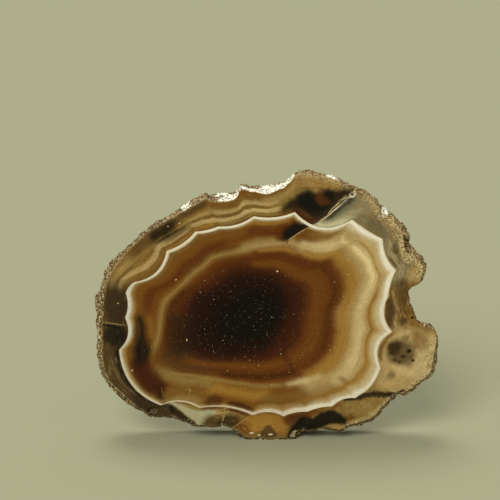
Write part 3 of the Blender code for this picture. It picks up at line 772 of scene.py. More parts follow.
def rind_profile(station, widest, back):
    """How far the rim stands out at a station from 0, the front, to 1, the back."""
    if station < WIDEST_AT:
        return widest * (1.0 - (1.0 - station / WIDEST_AT) ** 2)
    return widest + (back - widest) * smooth_step((station - WIDEST_AT) / (1.0 - WIDEST_AT))


def bump(distance, radius):
    return max(0.0, 1.0 - (distance / radius) ** 2)


def rind_relief(point):
    """The solid's lumps, knobs and pits, with finer crystals and grit over them."""
    lumps = LUMPS[1] * noise.noise(point / LUMPS[0])
    knobs = KNOBS[1] * bump(noise.voronoi(point / KNOBS[0])[0][0], KNOB_WIDTH)
    pits = PITS[1] * bump(noise.voronoi(point / PITS[0] + PIT_SHIFT)[0][0], PIT_WIDTH)
    crystals = CRYSTALS[1] * (CRYSTAL_MIDDLE - noise.voronoi(point / CRYSTALS[0])[0][0])
    grit = GRIT[1] * noise.noise(point / GRIT[0])
    return lumps + knobs - pits + crystals + grit


def edge_nicks(point):
    return EDGE_NICKS[1] * noise.noise(point / EDGE_NICKS[0])


def rim_ring(outline, normals, station):
    """One ring of the rim, with the worn flat foot."""
    depth = -HALF + THICKNESS * station
    away_from_edges = smooth_step(min(station, 1.0 - station) / EDGE_EASE)
    ring = []
    for point, normal in zip(outline, normals):
        widest, back = stand_out_at(point)
        base = point + normal * rind_profile(station, widest, back)
        solid_point = Vector((base.x, depth, base.y))
        base += normal * (rind_relief(solid_point) * away_from_edges + edge_nicks(solid_point))
        height = base.y if base.y > FOOT_SNAP else 0.0
        ring.append((base.x, depth, height))
    return np.array(ring)


def polar(points):
    """Directions and distances of (x, z) points from the middle of the bands."""
    away = np.asarray(points, float) - BAND_CENTRE
    return np.arctan2(away[:, 1], away[:, 0]), np.hypot(away[:, 0], away[:, 1])


def by_direction(places, values=None):
    """A function from direction to the value, or else the radius, at the nearest places."""
    directions, radii = polar([on_face(place) for place in places])
    known = radii if values is None else np.asarray(values, float)
    return lambda wanted: np.interp(wanted, directions, known, period=2 * math.pi)


def white_edge_places():
    """The white band's outer edge in pixels, each scallop an arc between its two cusps."""
    places = []
    for i, (start, sag) in enumerate(WHITE_SCALLOPS):
        end = WHITE_SCALLOPS[(i + 1) % len(WHITE_SCALLOPS)][0]
        along = np.subtract(end, start)
        inwards = np.array((-along[1], along[0])) / np.hypot(*along)
        for step in range(SCALLOP_STEPS):
            part = step / SCALLOP_STEPS
            places.append(start + along * part + inwards * (4 * part * (1 - part) * sag))
    return places


def smooth_places(places):
    return [tuple(point) for point in closed_curve(places, 6 * len(places))]


WHITE_OUTER = by_direction(white_edge_places())
WHITE_WIDTH = by_direction([place for place, _ in WHITE_THICKNESS],
                           [width / PIXELS_PER_MM for _, width in WHITE_THICKNESS])
RIDGE = by_direction(smooth_places(TAN_RIDGE))
CORE = by_direction(smooth_places(CORE_EDGE))


def band_radii(directions, edge_radii):
    """Radii of the rim, both sides of the white band, the ridge, the core and the middle."""
    outer = np.minimum(WHITE_OUTER(directions), edge_radii - LEAST_RIND)
    inner = outer - WHITE_WIDTH(directions)
    ridge = np.minimum(RIDGE(directions), inner - LEAST_BROWN)
    return [edge_radii, outer, inner, ridge, CORE(directions), 0.0 * edge_radii]


def band_levels(ring_counts):
    """Band numbers of the rings from the rim, 0, to the core."""
    levels = [0.0]
    for zone, count in enumerate(ring_counts):
        end = CORE_REACH if zone == 4 else zone + 1.0
        levels += [zone + (end - zone) * (k + 1) / count for k in range(count)]
    return levels


def face_rings(edge_ring, ring_counts):
    """Rings of points on a face, inside its edge ring, with the band number of each."""
    directions, edge_radii = polar(edge_ring[:, (0, 2)])
    radii = band_radii(directions, edge_radii)
    rings = []
    for level in band_levels(ring_counts)[1:]:
        zone = min(int(level), 4)
        if level == zone:
            radius = radii[zone]
        else:
            radius = radii[zone] + (radii[zone + 1] - radii[zone]) * (level - zone)
        x = BAND_CENTRE[0] + radius * np.cos(directions)
        z = BAND_CENTRE[1] + radius * np.sin(directions)
        rings.append((np.stack([x, edge_ring[:, 1], z], axis=1), level))
    return rings


def quads_between(first, second, flip):
    """Faces between two neighbouring rings, which begin at these point numbers."""
    faces = []
    for i in range(ROUND_COUNT):
        j = (i + 1) % ROUND_COUNT
        face = (first + i, first + j, second + j, second + i)
        faces.append(face[::-1] if flip else face)
    return faces


class StoneShape:
    """The slice's points, band numbers and faces, sorted into polished, rind and sawn."""

    def __init__(self):
        outline = closed_curve(FACE_EDGE, ROUND_COUNT)
        normals = outward_normals(outline, NORMAL_SPREAD)
        self.rings = []
        self.bands = []
        self.outward = []
        self.faces = []
        self.finish = []
        across = np.array([(normal.x, 0.0, normal.y) for normal in normals])
        front = np.tile((0.0, -1.0, 0.0), (ROUND_COUNT, 1))
        stations = [k / RIM_RINGS for k in range(RIM_RINGS + 1)]
        rim = [rim_ring(outline, normals, station) for station in stations]
        front_rings = face_rings(rim[0], FRONT_RINGS)
        back_rings = face_rings(rim[-1], BACK_RINGS)
        for ring, level in reversed(front_rings):
            self.add_ring(ring, level, front)
        for ring, station in zip(rim, stations):
            lean = (front if station < 0.5 else -front) * (abs(station - 0.5) == 0.5)
            self.add_ring(ring, 0.0, across + lean)
        for ring, level in back_rings:
            self.add_ring(ring, level, -front)
        self.add_faces(len(front_rings), len(rim), len(back_rings))
        self.points = np.concatenate(self.rings)
        self.bands = np.concatenate(self.bands)
        self.outward = np.concatenate(self.outward)

    def add_ring(self, ring, level, outward):
        self.rings.append(ring)
        self.bands.append(np.full(ROUND_COUNT, level))
        self.outward.append(outward)

    def add_faces(self, front_count, rim_count, back_count):
        """Strips from the middle of the front, over the rim, to the middle of the back."""
        self.faces.append(tuple(reversed(range(ROUND_COUNT))))
        self.finish.append(0)
        total = front_count + rim_count + back_count
        for k in range(total - 1):
            strip = quads_between(k * ROUND_COUNT, (k + 1) * ROUND_COUNT, False)
            self.faces += strip
            kind = 0 if k < front_count else 1 if k < front_count + rim_count - 1 else 2
            self.finish += [kind] * len(strip)
        last = (total - 1) * ROUND_COUNT
        self.faces.append(tuple(range(last, last + ROUND_COUNT)))
        self.finish.append(2)


def turned(away, turn):
    """(x, z) offsets turned clockwise, into the axes of a mark turned the other way."""
    angle = math.radians(turn)
    along = away[:, 0] * math.cos(angle) + away[:, 1] * math.sin(angle)
    aside = -away[:, 0] * math.sin(angle) + away[:, 1] * math.cos(angle)
    return along, aside


def dig_hollow(points, outward, broken, place, from_front, radii, turn):
    """Pushes the points inside a rough ellipsoid out to its wall, away from the open side."""
    middle = np.array((place[0], -HALF + from_front, place[1]))

    def unit_space(offsets):
        along, aside = turned(offsets[:, (0, 2)], turn)
        return np.stack([along / radii[0], offsets[:, 1] / radii[1], aside / radii[2]], axis=1)

    near = np.flatnonzero(np.abs(points - middle).max(axis=1) < HOLLOW_SEARCH * max(radii))
    if not len(near):
        return
    flat = unit_space(points[near] - middle)
    places = [Vector(p) * HOLLOW_WALL_SCALE + Vector(middle) for p in flat]
    wall = np.array([1.0 + HOLLOW_ROUGHNESS * noise.noise(place) for place in places])
    inside = np.linalg.norm(flat, axis=1) < wall
    near, flat, wall = near[inside], flat[inside], wall[inside]
    if not len(near):
        return
    facing = outward[near].mean(axis=0)
    eye = middle + facing / np.linalg.norm(facing) * max(radii) * HOLLOW_EYE
    ray = points[near] - eye
    ray /= np.linalg.norm(ray, axis=1)[:, None]
    flat_ray = unit_space(ray)
    a = (flat_ray ** 2).sum(axis=1)
    b = (flat * flat_ray).sum(axis=1)
    c = (flat ** 2).sum(axis=1) - wall ** 2
    push = (-b + np.sqrt(np.maximum(b * b - a * c, 0.0))) / a
    points[near] += ray * push[:, None]
    broken[near] = np.maximum(broken[near], np.minimum(push / FULLY_BROKEN, 1.0))


def distance_to_path(flat_points, path):
    """How far (x, z) points lie from a path of straight stretches, and how far along it."""
    best = np.full(len(flat_points), 1e9)
    along = np.zeros(len(flat_points))
    pieces = len(path) - 1
    for k in range(pieces):
        start, end = np.array(path[k]), np.array(path[k + 1])
        run = end - start
        part = np.clip(((flat_points - start) @ run) / (run @ run), 0.0, 1.0)
        away = np.linalg.norm(flat_points - start - part[:, None] * run, axis=1)
        closer = away < best
        best[closer] = away[closer]
        along[closer] = (k + part[closer]) / pieces
    return best, along


def open_crack(points, broken, path, half_width, depth):
    """Sinks the polished face along a crack, less and less towards its end."""
    front = np.flatnonzero(points[:, 1] < -HALF + FRONT_MARGIN)
    away, along = distance_to_path(points[front][:, (0, 2)], path)
    left = 1.0 - CRACK_NARROWING * along
    inside = np.maximum(0.0, 1.0 - away / (half_width * left))
    points[front, 1] += inside * depth * left
    broken[front] = np.maximum(broken[front], np.minimum(inside * CRACK_BREAKAGE, 1.0))


def follow_path(directions, path):
    """How far along a band's path each direction lies, its length, and its band numbers."""
    span = path[-1][0] - path[0][0]
    along = (directions - path[0][0]) % 360
    steps = np.arange(0.0, span + PATH_STEP, PATH_STEP)
    levels = np.interp(steps, [place - path[0][0] for place, _ in path], [row[1] for row in path])
    ends = PATH_SOFTENING // 2
    kernel = np.full(PATH_SOFTENING, 1.0 / PATH_SOFTENING)
    levels = np.convolve(np.pad(levels, ends, mode="edge"), kernel, mode="valid")
    return along, span, np.interp(along, steps, levels)


def put_bands(directions, levels):
    """For each band, how many half widths each point lies off its middle, and its strength."""
    for i, (_, half_width, _, strength, fade, path) in enumerate(BANDS):
        along, span, middle = follow_path(directions, path)
        reach = smooth_steps(np.minimum(along, span - along) / fade)
        NUMBERS.put(f"band {i}", (levels - middle) / half_width)
        NUMBERS.put(f"reach {i}", reach * strength)


def inside_outline(points, outline):
    """Distance of (x, z) points to a closed outline in millimetres, above zero inside it."""
    away, _ = distance_to_path(points, outline + outline[:1])
    inside = np.zeros(len(points), bool)
    for (x0, z0), (x1, z1) in zip(outline, outline[1:] + outline[:1]):
        if z0 != z1:
            spans = (points[:, 1] < z0) != (points[:, 1] < z1)
            crossing = x0 + (points[:, 1] - z0) * (x1 - x0) / (z1 - z0)
            inside ^= spans & (points[:, 0] < crossing)
    return np.where(inside, away, -away)


def put_outline(name, points, outline):
    """How far points lie inside an outline in millimetres, down to where it stops mattering."""
    low = np.min(outline, axis=0) - PATCH_REACH
    high = np.max(outline, axis=0) + PATCH_REACH
    near = np.all((points > low) & (points < high), axis=1)
    distance = np.full(len(points), -PATCH_REACH)
    distance[near] = np.maximum(inside_outline(points[near], outline), -PATCH_REACH)
    NUMBERS.put(name, distance)


def put_patches(points):
    right_side = [on_face(corner) for corner in FRACTURE_LINE + FRACTURE_RIGHT]
    put_outline("right of fracture", points, right_side)
    for side, patches in PATCHES.items():
        for i, (_, _, _, corners) in enumerate(patches):
            corners = [on_face(corner) for corner in corners]
            outline = [tuple(point) for point in closed_curve(corners, 3 * len(corners))]
            put_outline(f"{side} patch {i}", points, outline)


def put_by_direction(names, directions, rows):
    """Numbers that vary with direction alone, from rows of degrees and then one value a name."""
    turns, *columns = zip(*rows)
    for name, column in zip(names, columns):
        NUMBERS.put(name, np.interp(np.degrees(directions), turns, column, period=360))


def put_fibres(mesh, directions, levels):
    """Places for the fibres' noise, drawn out along the bands, and their strength."""
    across = FIBRE_ACROSS * levels
    columns = (FIBRE_ROUND * np.cos(directions), FIBRE_ROUND * np.sin(directions), across)
    layer = mesh.attributes.new("fibre place", "FLOAT_VECTOR", "POINT")
    layer.data.foreach_set("vector", np.stack(columns, axis=1).astype(np.float32).ravel())
    put_by_direction(("fibrous",), directions, FIBROUS)
    put_by_direction(("rim paleness",), directions, RIM_PALENESS)
    white_names = ("white brightness", "white fade start", "white fade end")
    put_by_direction(white_names, directions, WHITE_LOOK)


def wobble(points, size, seed):
    """Smooth noise vectors for points, as an (x, z) offset of about one unit each way."""
    shift = Vector((seed, 2.0 * seed, -seed))
    return np.array([noise.noise_vector(Vector(p) / size + shift)[:2] for p in points])


def soft_ellipse(points, warp, place, radii, turn, softness):
    """1 inside a wobbly ellipse placed on the photograph, and falling to 0 over its edge."""
    sizes = [radius / PIXELS_PER_MM for radius in radii]
    reach = min(STAIN_WARP, STAIN_WARP_SHARE * min(sizes))
    away = points[:, (0, 2)] + warp * reach - np.array(on_face(place))
    along, aside = turned(away, turn)
    distance = np.hypot(along / sizes[0], aside / sizes[1])
    return smooth_steps((1.0 + softness / 2 - distance) / softness)


def put_stains(points):
    """How strongly each stain colour, and the rim's white crystals with their painted highlight, cover each
    point.
    """
    warp = wobble(points, STAIN_WARP_SIZE, STAIN_WARP_SEED)
    fields = {}
    for colour, place, radii, turn, softness, strength in STAINS:
        cover = soft_ellipse(points, warp, place, radii, turn, softness) * strength
        fields[colour] = np.maximum(fields.get(colour, 0.0), cover)
    for colour, cover in fields.items():
        NUMBERS.put(f"stain {colour}", cover)
    druse_highlight = [soft_ellipse(points, warp, *row) for row in DRUSE_AND_HIGHLIGHTS]
    depth = (points[:, 1] + HALF) / THICKNESS
    NUMBERS.put("druse_highlight", np.max(druse_highlight, axis=0) * (1.0 - DRUSE_THINNING * depth))


class PointNumbers:
    """Named numbers at the mesh's points, kept three to an attribute for the materials."""

    def __init__(self):
        self.names = []
        self.columns = []

    def put(self, name, values):
        self.names.append(name)
        self.columns.append(np.asarray(values, np.float32))

    def write(self, mesh):
        while len(self.columns) % 3:
            self.put("spare", np.zeros(len(self.columns[0])))
        for k in range(0, len(self.columns), 3):
            layer = mesh.attributes.new(f"numbers {k // 3}", "FLOAT_VECTOR", "POINT")
            layer.data.foreach_set("vector", np.stack(self.columns[k:k + 3], axis=1).ravel())

    def place(self, name):
        """The attribute that holds a number, and which of its three parts it is."""
        index = self.names.index(name)
        return f"numbers {index // 3}", index % 3


NUMBERS = PointNumbers()


def add_object(name, data):
    thing = bpy.data.objects.new(name, data)
    bpy.context.scene.collection.objects.link(thing)
    return thing


def build_stone():
    """The whole slice as one mesh, with the numbers that its materials read."""
    shape = StoneShape()
    points = shape.points
    rest_points = points.copy()
    broken = np.zeros(len(points))
    for crack in CRACKS:
        open_crack(points, broken, *crack)
    for hollow in HOLLOWS.values():
        dig_hollow(points, shape.outward, broken, *hollow)
    low, high = (np.array(corner) / MM for corner in CAD_BOX)
    points[:] = np.clip(points, low, high)
    mesh = bpy.data.meshes.new("agate_slice_stone")
    mesh.from_pydata((points * MM).tolist(), [], shape.faces)
    mesh.polygons.foreach_set("material_index", shape.finish)
    mesh.polygons.foreach_set("use_smooth", [kind != 1 for kind in shape.finish])
    for name, values in (("x", rest_points[:, 0]), ("z", rest_points[:, 2]), ("level", shape.bands)):
        NUMBERS.put(name, values)
    sway = BAND_WOBBLE * wobble(rest_points, BAND_WOBBLE_SIZE, BAND_WOBBLE_SEED)
    directions, _ = polar(rest_points[:, (0, 2)] + sway)
    put_bands(np.degrees(directions), shape.bands)
    put_stains(rest_points)
    put_patches(rest_points[:, (0, 2)])
    put_fibres(mesh, directions, shape.bands)
    NUMBERS.put("broken", broken)
    NUMBERS.write(mesh)
    mesh.validate()
    return add_object("agate_slice_stone", mesh)


class Nodes:
    """Short calls that add shader nodes to one tree and link them."""

    def __init__(self, tree):
        self.tree = tree
        self.numbers = {}

    def add(self, kind, inputs=(), **settings):
        node = self.tree.nodes.new(kind)
        for name, value in settings.items():
            setattr(node, name, value)
        for name, value in dict(inputs).items():
            self.feed(node.inputs[name], value)
        return node

    def feed(self, socket, value):
        if isinstance(value, bpy.types.NodeSocket):
            self.tree.links.new(value, socket)
        else:
            socket.default_value = value

    def math(self, operation, *values):
        return self.add("ShaderNodeMath", enumerate(values), operation=operation).outputs[0]

    def number(self, name):
        """A named number of the mesh's points."""
        attribute, part = NUMBERS.place(name)
        if attribute not in self.numbers:
            colour = self.add("ShaderNodeAttribute", attribute_name=attribute).outputs["Color"]
            self.numbers[attribute] = self.add("ShaderNodeSeparateColor", {0: colour}).outputs
        return self.numbers[attribute][part]

    def remap(self, value, low, high, start=0.0, end=1.0, smooth=False):
        """From one range to another: smooth stops at the ends, and straight runs on past them."""
        inputs = {"Value": value, "From Min": low, "From Max": high, "To Min": start, "To Max": end}
        kind = "SMOOTHSTEP" if smooth else "LINEAR"
        node = self.add("ShaderNodeMapRange", inputs, interpolation_type=kind, clamp=False)
        return node.outputs[0]

    def noise(self, vector, name):
        size, detail, roughness = NOISES[name]
        inputs = {"Vector": vector, "Scale": 1.0 / size, "Detail": detail, "Roughness": roughness}
        return self.add("ShaderNodeTexNoise", inputs).outputs["Fac"]

    def line_noise(self, value, scale, detail):
        inputs = {"W": value, "Scale": scale, "Detail": detail}
        return self.add("ShaderNodeTexNoise", inputs, noise_dimensions="1D").outputs["Fac"]

    def mix(self, amount, first, second):
        node = self.add("ShaderNodeMix", {0: amount, 6: first, 7: second}, data_type="RGBA")
        return node.outputs[2]

    def blend(self, amount, first, second):
        inputs = {"Factor": amount, "A": first, "B": second}
        return self.add("ShaderNodeMix", inputs).outputs["Result"]

    def tint(self, colour, cover, strength, name):
        """Lays a named colour over another, as strongly as the cover and the strength say."""
        return self.mix(self.math("MULTIPLY", cover, strength), colour, stone_colour(name))

    def vary(self, colour, value, amount, low=0.3, high=0.7):
        """Darkens a colour by an amount where the value is low, and brightens it where high."""
        brightness = self.remap(value, low, high, 1.0 - amount, 1.0 + amount)
        inputs = {"Color": colour, "Value": brightness}
        return self.add("ShaderNodeHueSaturation", inputs).outputs["Color"]

    def ramp(self, value, stops):
        node = self.add("ShaderNodeValToRGB", {"Fac": value})
        elements = node.color_ramp.elements
        elements[0].position, elements[0].color = stops[0][0], stone_colour(stops[0][1])
        elements[1].position, elements[1].color = stops[-1][0], stone_colour(stops[-1][1])
        for position, colour in stops[1:-1]:
            elements.new(position).color = stone_colour(colour)
        return node.outputs["Color"]


def ground(nodes, level, stops):
    """The colours that run all the way round, along a ramp from the first stop to the last."""
    first, last = stops[0][0], stops[-1][0]
    places = [((band - first) / (last - first), colour) for band, colour in stops]
    return nodes.ramp(nodes.remap(level, first, last), places)


def tone_of(colour, crystals):
    """A named colour, or the mixed one of the sugary crystals."""
    return crystals if colour == "crystals" else stone_colour(colour)


def lay_bands(nodes, total, waver, crystals, of_rind):
    """The bands on one side of the white band, laid over the total in turn."""
    for i, (colour, half_width, softness, _, _, path) in enumerate(BANDS):
        if (path[0][1] < INNER_BANDS_FROM) == of_rind:
            away = nodes.math("MULTIPLY_ADD", waver, WAVER / half_width, nodes.number(f"band {i}"))
            away = nodes.math("ABSOLUTE", away)
            most = nodes.number(f"reach {i}")
            cover = nodes.remap(away, 1.0 + softness, 1.0 - softness, 0.0, most, smooth=True)
            total = nodes.mix(cover, total, tone_of(colour, crystals))
    return total


def lay_patches(nodes, total, warp, crystals, keep_white):
    """The outlined patches, laid over the total; the fracture stops those on either side."""
    right = nodes.remap(nodes.number("right of fracture"), *FRACTURE_EDGE, smooth=True)
    kept = {
        "left": nodes.math("MULTIPLY", nodes.math("SUBTRACT", 1.0, right), keep_white),
        "right": nodes.math("MULTIPLY", right, keep_white),
        "both": keep_white,
    }
    for side, patches in PATCHES.items():
        for i, (colour, softness, strength, _) in enumerate(patches):
            distance = nodes.number(f"{side} patch {i}")
            reach = min(PATCH_WARP, PATCH_WARP_SHARE * softness / PIXELS_PER_MM)
            distance = nodes.math("MULTIPLY_ADD", warp, reach, distance)
            edge = softness / 2 / PIXELS_PER_MM
            cover = nodes.remap(distance, -edge, edge, 0.0, strength, smooth=True)
            cover = nodes.math("MULTIPLY", cover, kept[side])
            total = nodes.mix(cover, total, tone_of(colour, crystals))
    return total


def fine_mark(nodes, x, z, place, radii, turn):
    """1 inside a small ellipse on the face and 0 outside, the same through the stone."""
    middle = on_face(place)
    cosine, sine = math.cos(math.radians(turn)), math.sin(math.radians(turn))
    square = 0.0
    for radius, (by_x, by_z) in zip(radii, ((cosine, sine), (-sine, cosine))):
        size = radius / PIXELS_PER_MM
        shift = -(middle[0] * by_x + middle[1] * by_z) / size
        offset = nodes.math("MULTIPLY_ADD", z, by_z / size, shift)
        offset = nodes.math("MULTIPLY_ADD", x, by_x / size, offset)
        square = nodes.math("MULTIPLY_ADD", offset, offset, square)
    return nodes.remap(square, *FINE_MARK_EDGE, smooth=True)


def make_agate_group():
    """A node group that gives the stone's colour anywhere in it, and where it is broken."""
    group = bpy.data.node_groups.new("banded agate", "ShaderNodeTree")
    group.interface.new_socket("Colour", in_out="OUTPUT", socket_type="NodeSocketColor")
    group.interface.new_socket("Millimetres", in_out="OUTPUT", socket_type="NodeSocketVector")
    nodes = Nodes(group)
    place = nodes.add("ShaderNodeTexCoord").outputs["Object"]
    inputs = {"Vector": place, "Scale": (1.0 / MM,) * 3}
    place = nodes.add("ShaderNodeMapping", inputs).outputs[0]
    band = nodes.number("level")

    grains = nodes.remap(nodes.noise(place, "grains"), 0.38, 0.60, smooth=True)
    crystals = nodes.mix(grains, stone_colour("umber"), stone_colour("straw"))
    waver = nodes.remap(nodes.noise(place, "waver"), 0.3, 0.7, -1.0, 1.0)
    warp = nodes.remap(nodes.noise(place, "warp"), 0.3, 0.7, -1.0, 1.0)
    fibre_place = nodes.add("ShaderNodeAttribute", attribute_name="fibre place").outputs["Vector"]
    fibres = nodes.noise(fibre_place, "fibres")
    fibrous = nodes.number("fibrous")
    level = nodes.math("MULTIPLY_ADD", waver, WAVER, band)

    rind = lay_bands(nodes, ground(nodes, level, RIND_GROUND), waver, crystals, True)
    pale_fibres = nodes.math("MULTIPLY", nodes.remap(fibres, 0.52, 0.72, smooth=True), fibrous)
    rind = nodes.tint(rind, pale_fibres, 0.55, "sand")
    dark_fibres = nodes.math("MULTIPLY", nodes.remap(fibres, 0.48, 0.30, smooth=True), fibrous)
    rind = nodes.tint(rind, dark_fibres, 0.75, "umber")
    rind = nodes.vary(rind, nodes.line_noise(level, *BAND_LINES), 0.10)
    rind = nodes.vary(rind, nodes.noise(place, "clouds"), 0.14)
    inner = lay_bands(nodes, ground(nodes, level, INNER_GROUND), waver, crystals, False)
    inner = nodes.vary(inner, nodes.line_noise(level, *BAND_LINES), 0.07)

    inside = nodes.remap(band, 1.0, 1.06)
    colour = nodes.mix(inside, rind, inner)
    x, z = nodes.number("x"), nodes.number("z")
    right = nodes.remap(x, -28.0, -20.0, smooth=True)
    white = nodes.mix(right, stone_colour("cool milk"), stone_colour("milk"))
    white = nodes.mix(nodes.number("white brightness"), stone_colour("dull milk"), white)
    outer_end = nodes.remap(x, 8.0, 18.0, 1.12, 1.35, smooth=True)
    fade = (nodes.number("white fade end"), nodes.number("white fade start"))
    white_cover = nodes.math("MULTIPLY", nodes.remap(band, 0.98, outer_end, smooth=True),
                             nodes.remap(band, *fade, smooth=True))
    colour = nodes.mix(white_cover, colour, white)
    outline = nodes.math("MULTIPLY", nodes.remap(band, 0.92, 0.985, smooth=True),
                         nodes.remap(band, 1.03, 0.98, smooth=True))
    colour = nodes.tint(colour, outline, 0.35, "umber")

    keep_white = nodes.remap(white_cover, 0.15, 0.75, 1.0, 0.0, smooth=True)
    for name in dict.fromkeys(row[0] for row in STAINS):
        cover = nodes.math("MULTIPLY", nodes.number(f"stain {name}"), keep_white)
        colour = nodes.mix(cover, colour, stone_colour(name))
    colour = lay_patches(nodes, colour, warp, crystals, keep_white)

    colour = nodes.vary(colour, nodes.noise(place, "mottle"), 0.14, 0.25, 0.75)

    crumbs = nodes.mix(grains, stone_colour("soot"), stone_colour("grey brown"))
    white_crumbs = nodes.mix(grains, stone_colour("umber"), stone_colour("cream"))
    crumbs = nodes.mix(nodes.number("druse_highlight"), crumbs, white_crumbs)
    colour = nodes.mix(nodes.math("MULTIPLY", nodes.number("broken"), 0.8), colour, crumbs)

    for name, *ellipse in FINE_MARKS:
        cover = fine_mark(nodes, x, z, *ellipse)
        colour = nodes.mix(cover, colour, stone_colour(name))
    out = nodes.add("NodeGroupOutput")
    nodes.feed(out.inputs["Colour"], colour)
    nodes.feed(out.inputs["Millimetres"], place)
    return group


def new_material(name, agate_group):
    """A material with the agate group in it: its nodes, shader and the group's outputs."""
    material = bpy.data.materials.new(name)
    material.use_nodes = True
    nodes = Nodes(material.node_tree)
    shader = material.node_tree.nodes["Principled BSDF"]
    agate = nodes.add("ShaderNodeGroup", node_tree=agate_group)
    return material, nodes, shader, agate.outputs["Colour"], agate.outputs["Millimetres"]


def finish(nodes, shader, colour, roughness, specular, relief):
    """Feeds the shader its colour, roughness, gloss and fine relief."""
    nodes.feed(shader.inputs["Base Color"], colour)
    nodes.feed(shader.inputs["Roughness"], roughness)
    shader.inputs["IOR"].default_value = QUARTZ_IOR
    shader.inputs["Specular IOR Level"].default_value = specular
    nodes.feed(shader.inputs["Normal"], nodes.add("ShaderNodeBump", relief).outputs[0])


def dust(nodes, place, spacing, radius):
    """Fine specks, densest over the core and below it."""
    cells = nodes.add("ShaderNodeTexVoronoi", {"Vector": place, "Scale": 1.0 / spacing})
    chance = nodes.add("ShaderNodeSeparateColor", {0: cells.outputs["Color"]}).outputs[0]
    size = nodes.remap(chance, 0.5, 1.0, 0.0, 2.0 * radius / spacing)
    speck = nodes.math("SUBTRACT", size, cells.outputs["Distance"])
    speck = nodes.remap(speck, -0.01, 0.04, smooth=True)
    low = nodes.remap(nodes.number("z"), 46.0, 28.0, 0.25, 1.0, smooth=True)
    inside = nodes.remap(nodes.number("level"), 2.2, 3.2, smooth=True)
    return nodes.math("MULTIPLY", speck, nodes.math("MULTIPLY", low, inside))


def polished_material(agate_group):
    """The cut and polished face: glossy over the bands, rough in cracks and pits."""
    material, nodes, shader, colour, place = new_material("polished agate", agate_group)
    for name, spacing, radius, strength in DUST:
        colour = nodes.tint(colour, dust(nodes, place, spacing, radius), strength, name)
    broken = nodes.number("broken")
    height = nodes.math("MULTIPLY", nodes.noise(place, "broken stone"), broken)
    polish = nodes.remap(nodes.noise(place, "polish"), 0.3, 0.7, 0.16, 0.24)
    roughness = nodes.blend(broken, polish, 0.6)
    relief = {"Height": height, "Strength": 0.6, "Distance": 0.0003}
    finish(nodes, shader, colour, roughness, 0.11, relief)
    return material


def rind_material(agate_group):
    """The rough rind: brown crystals with painted shade in their gaps, painted highlights as bright points,
    and white crystals in the hollows that are partly painted highlight.
    """
    material, nodes, shader, colour, place = new_material("crystalline rind", agate_group)
    coarse = nodes.noise(place, "coarse crystals")
    fine = nodes.noise(place, "fine crystals")
    patchy = nodes.remap(coarse, 0.42, 0.6, smooth=True)
    dark = nodes.mix(patchy, stone_colour("dark brown"), stone_colour("ochre"))
    pale = nodes.mix(patchy, stone_colour("amber"), stone_colour("beige"))
    colour = nodes.mix(0.75, colour, nodes.mix(nodes.number("rim paleness"), dark, pale))
    # Painted shade in the gaps between crystals, then painted highlights on them: pale tan points and cream
    # glints.
    for name, low, high in (("dark brown", 0.50, 0.43), ("pale tan", 0.54, 0.59), ("cream", 0.58, 0.63)):
        colour = nodes.tint(colour, nodes.remap(fine, low, high, smooth=True), 0.9, name)
    # The white crystals in the rim's top hollows, partly painted highlight of the light from above.
    ragged = nodes.math("MULTIPLY_ADD", nodes.noise(place, "ragged druse"), 3.4, -1.7)
    druse_highlight = nodes.math("MULTIPLY_ADD", nodes.number("druse_highlight"), 2.0, ragged)
    druse_highlight = nodes.remap(druse_highlight, 0.80, 1.05, smooth=True)
    druse_highlight = nodes.math("MULTIPLY", druse_highlight, nodes.remap(fine, 0.40, 0.47, smooth=True))
    colour = nodes.mix(druse_highlight, colour, stone_colour("druse white"))
    height = nodes.math("ADD", fine, nodes.math("MULTIPLY", coarse, 0.6))
    relief = {"Height": height, "Strength": 0.8, "Distance": 0.0002}
    finish(nodes, shader, colour, nodes.remap(fine, 0.3, 0.7, 0.7, 0.35), 0.2, relief)
    return material


def sawn_material(agate_group):
    """The sawn back: the same bands, hazed and matt, with faint arcs from the blade."""
    material, nodes, shader, colour, place = new_material("sawn agate", agate_group)
    haze = nodes.remap(nodes.noise(place, "haze"), 0.3, 0.7, 0.08, 0.18)
    colour = nodes.mix(haze, colour, stone_colour("grey tan"))
    from_blade = {"Vector": place, "Location": SAW_CENTRE, "Scale": FLATTEN_DEPTH}
    local = nodes.add("ShaderNodeMapping", from_blade, vector_type="TEXTURE").outputs[0]
    reach = nodes.add("ShaderNodeVectorMath", {0: local}, operation="LENGTH").outputs["Value"]
    arcs = nodes.line_noise(reach, *SAW_LINES)
    colour = nodes.vary(colour, arcs, 0.07, 0.35, 0.65)
    height = nodes.math("MULTIPLY_ADD", arcs, 1.4, nodes.noise(place, "sawn grain"))
    relief = {"Height": height, "Strength": 0.35, "Distance": 0.0001}
    finish(nodes, shader, colour, nodes.remap(arcs, 0.3, 0.7, 0.5, 0.62), 0.5, relief)
    return material


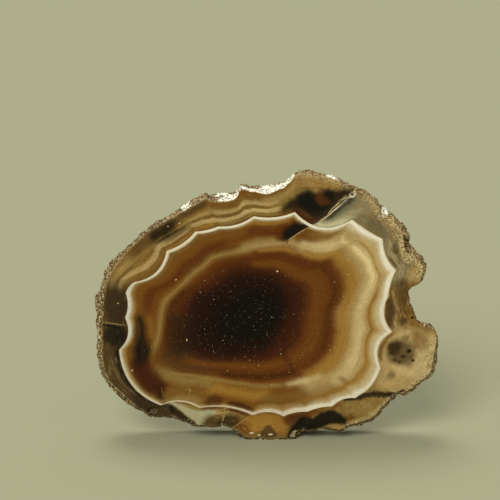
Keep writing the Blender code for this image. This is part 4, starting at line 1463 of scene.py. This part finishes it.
def make_stone():
    stone = build_stone()
    agate_group = make_agate_group()
    for maker in (polished_material, rind_material, sawn_material):
        stone.data.materials.append(maker(agate_group))
    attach(stone, "root")
    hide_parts("agate_slice")


def make_floor():
    """A plain pale floor that runs back out of sight."""
    half = FLOOR_SIZE / 2
    mesh = bpy.data.meshes.new("floor")
    corners = [(-half, -half, 0.0), (half, -half, 0.0), (half, half, 0.0), (-half, half, 0.0)]
    mesh.from_pydata(corners, [], [(0, 1, 2, 3)])
    floor = add_object("floor", mesh)
    material = bpy.data.materials.new("pale floor")
    material.use_nodes = True
    shader = material.node_tree.nodes["Principled BSDF"]
    shader.inputs["Base Color"].default_value = FLOOR_COLOUR
    shader.inputs["Roughness"].default_value = 0.9
    shader.inputs["Specular IOR Level"].default_value = 0.1
    mesh.materials.append(material)


def make_soft_light(name, comes_from, width, strength):
    """A far soft light from a direction; its width is the angle that it fills, in degrees."""
    data = bpy.data.lights.new(name, "SUN")
    data.angle = math.radians(width)
    data.energy = strength
    data.color = LIGHT_COLOUR
    lamp = add_object(name, data)
    lamp.rotation_euler = Vector(comes_from).to_track_quat("Z", "Y").to_euler()


def make_lights():
    for light in LIGHTS:
        make_soft_light(*light)
    world = bpy.data.worlds.new("soft room")
    world.use_nodes = True
    background = world.node_tree.nodes["Background"]
    background.inputs["Color"].default_value = SKY_COLOUR
    background.inputs["Strength"].default_value = SKY_STRENGTH
    bpy.context.scene.world = world


def make_camera():
    data = bpy.data.cameras.new("camera")
    data.lens = LENS
    data.sensor_width = SENSOR
    data.sensor_fit = "HORIZONTAL"
    data.clip_start, data.clip_end = CAMERA_CLIP
    camera = add_object("camera", data)
    back = Vector((0.0, -math.cos(CAMERA_DOWN), math.sin(CAMERA_DOWN)))
    camera.location = (CAMERA_AIM + back * CAMERA_DISTANCE) * MM
    camera.rotation_euler = (math.radians(90.0) - CAMERA_DOWN, 0.0, 0.0)
    bpy.context.scene.camera = camera


bpy.context.scene.view_settings.view_transform = "Standard"
make_camera()
make_floor()
make_lights()
make_stone()
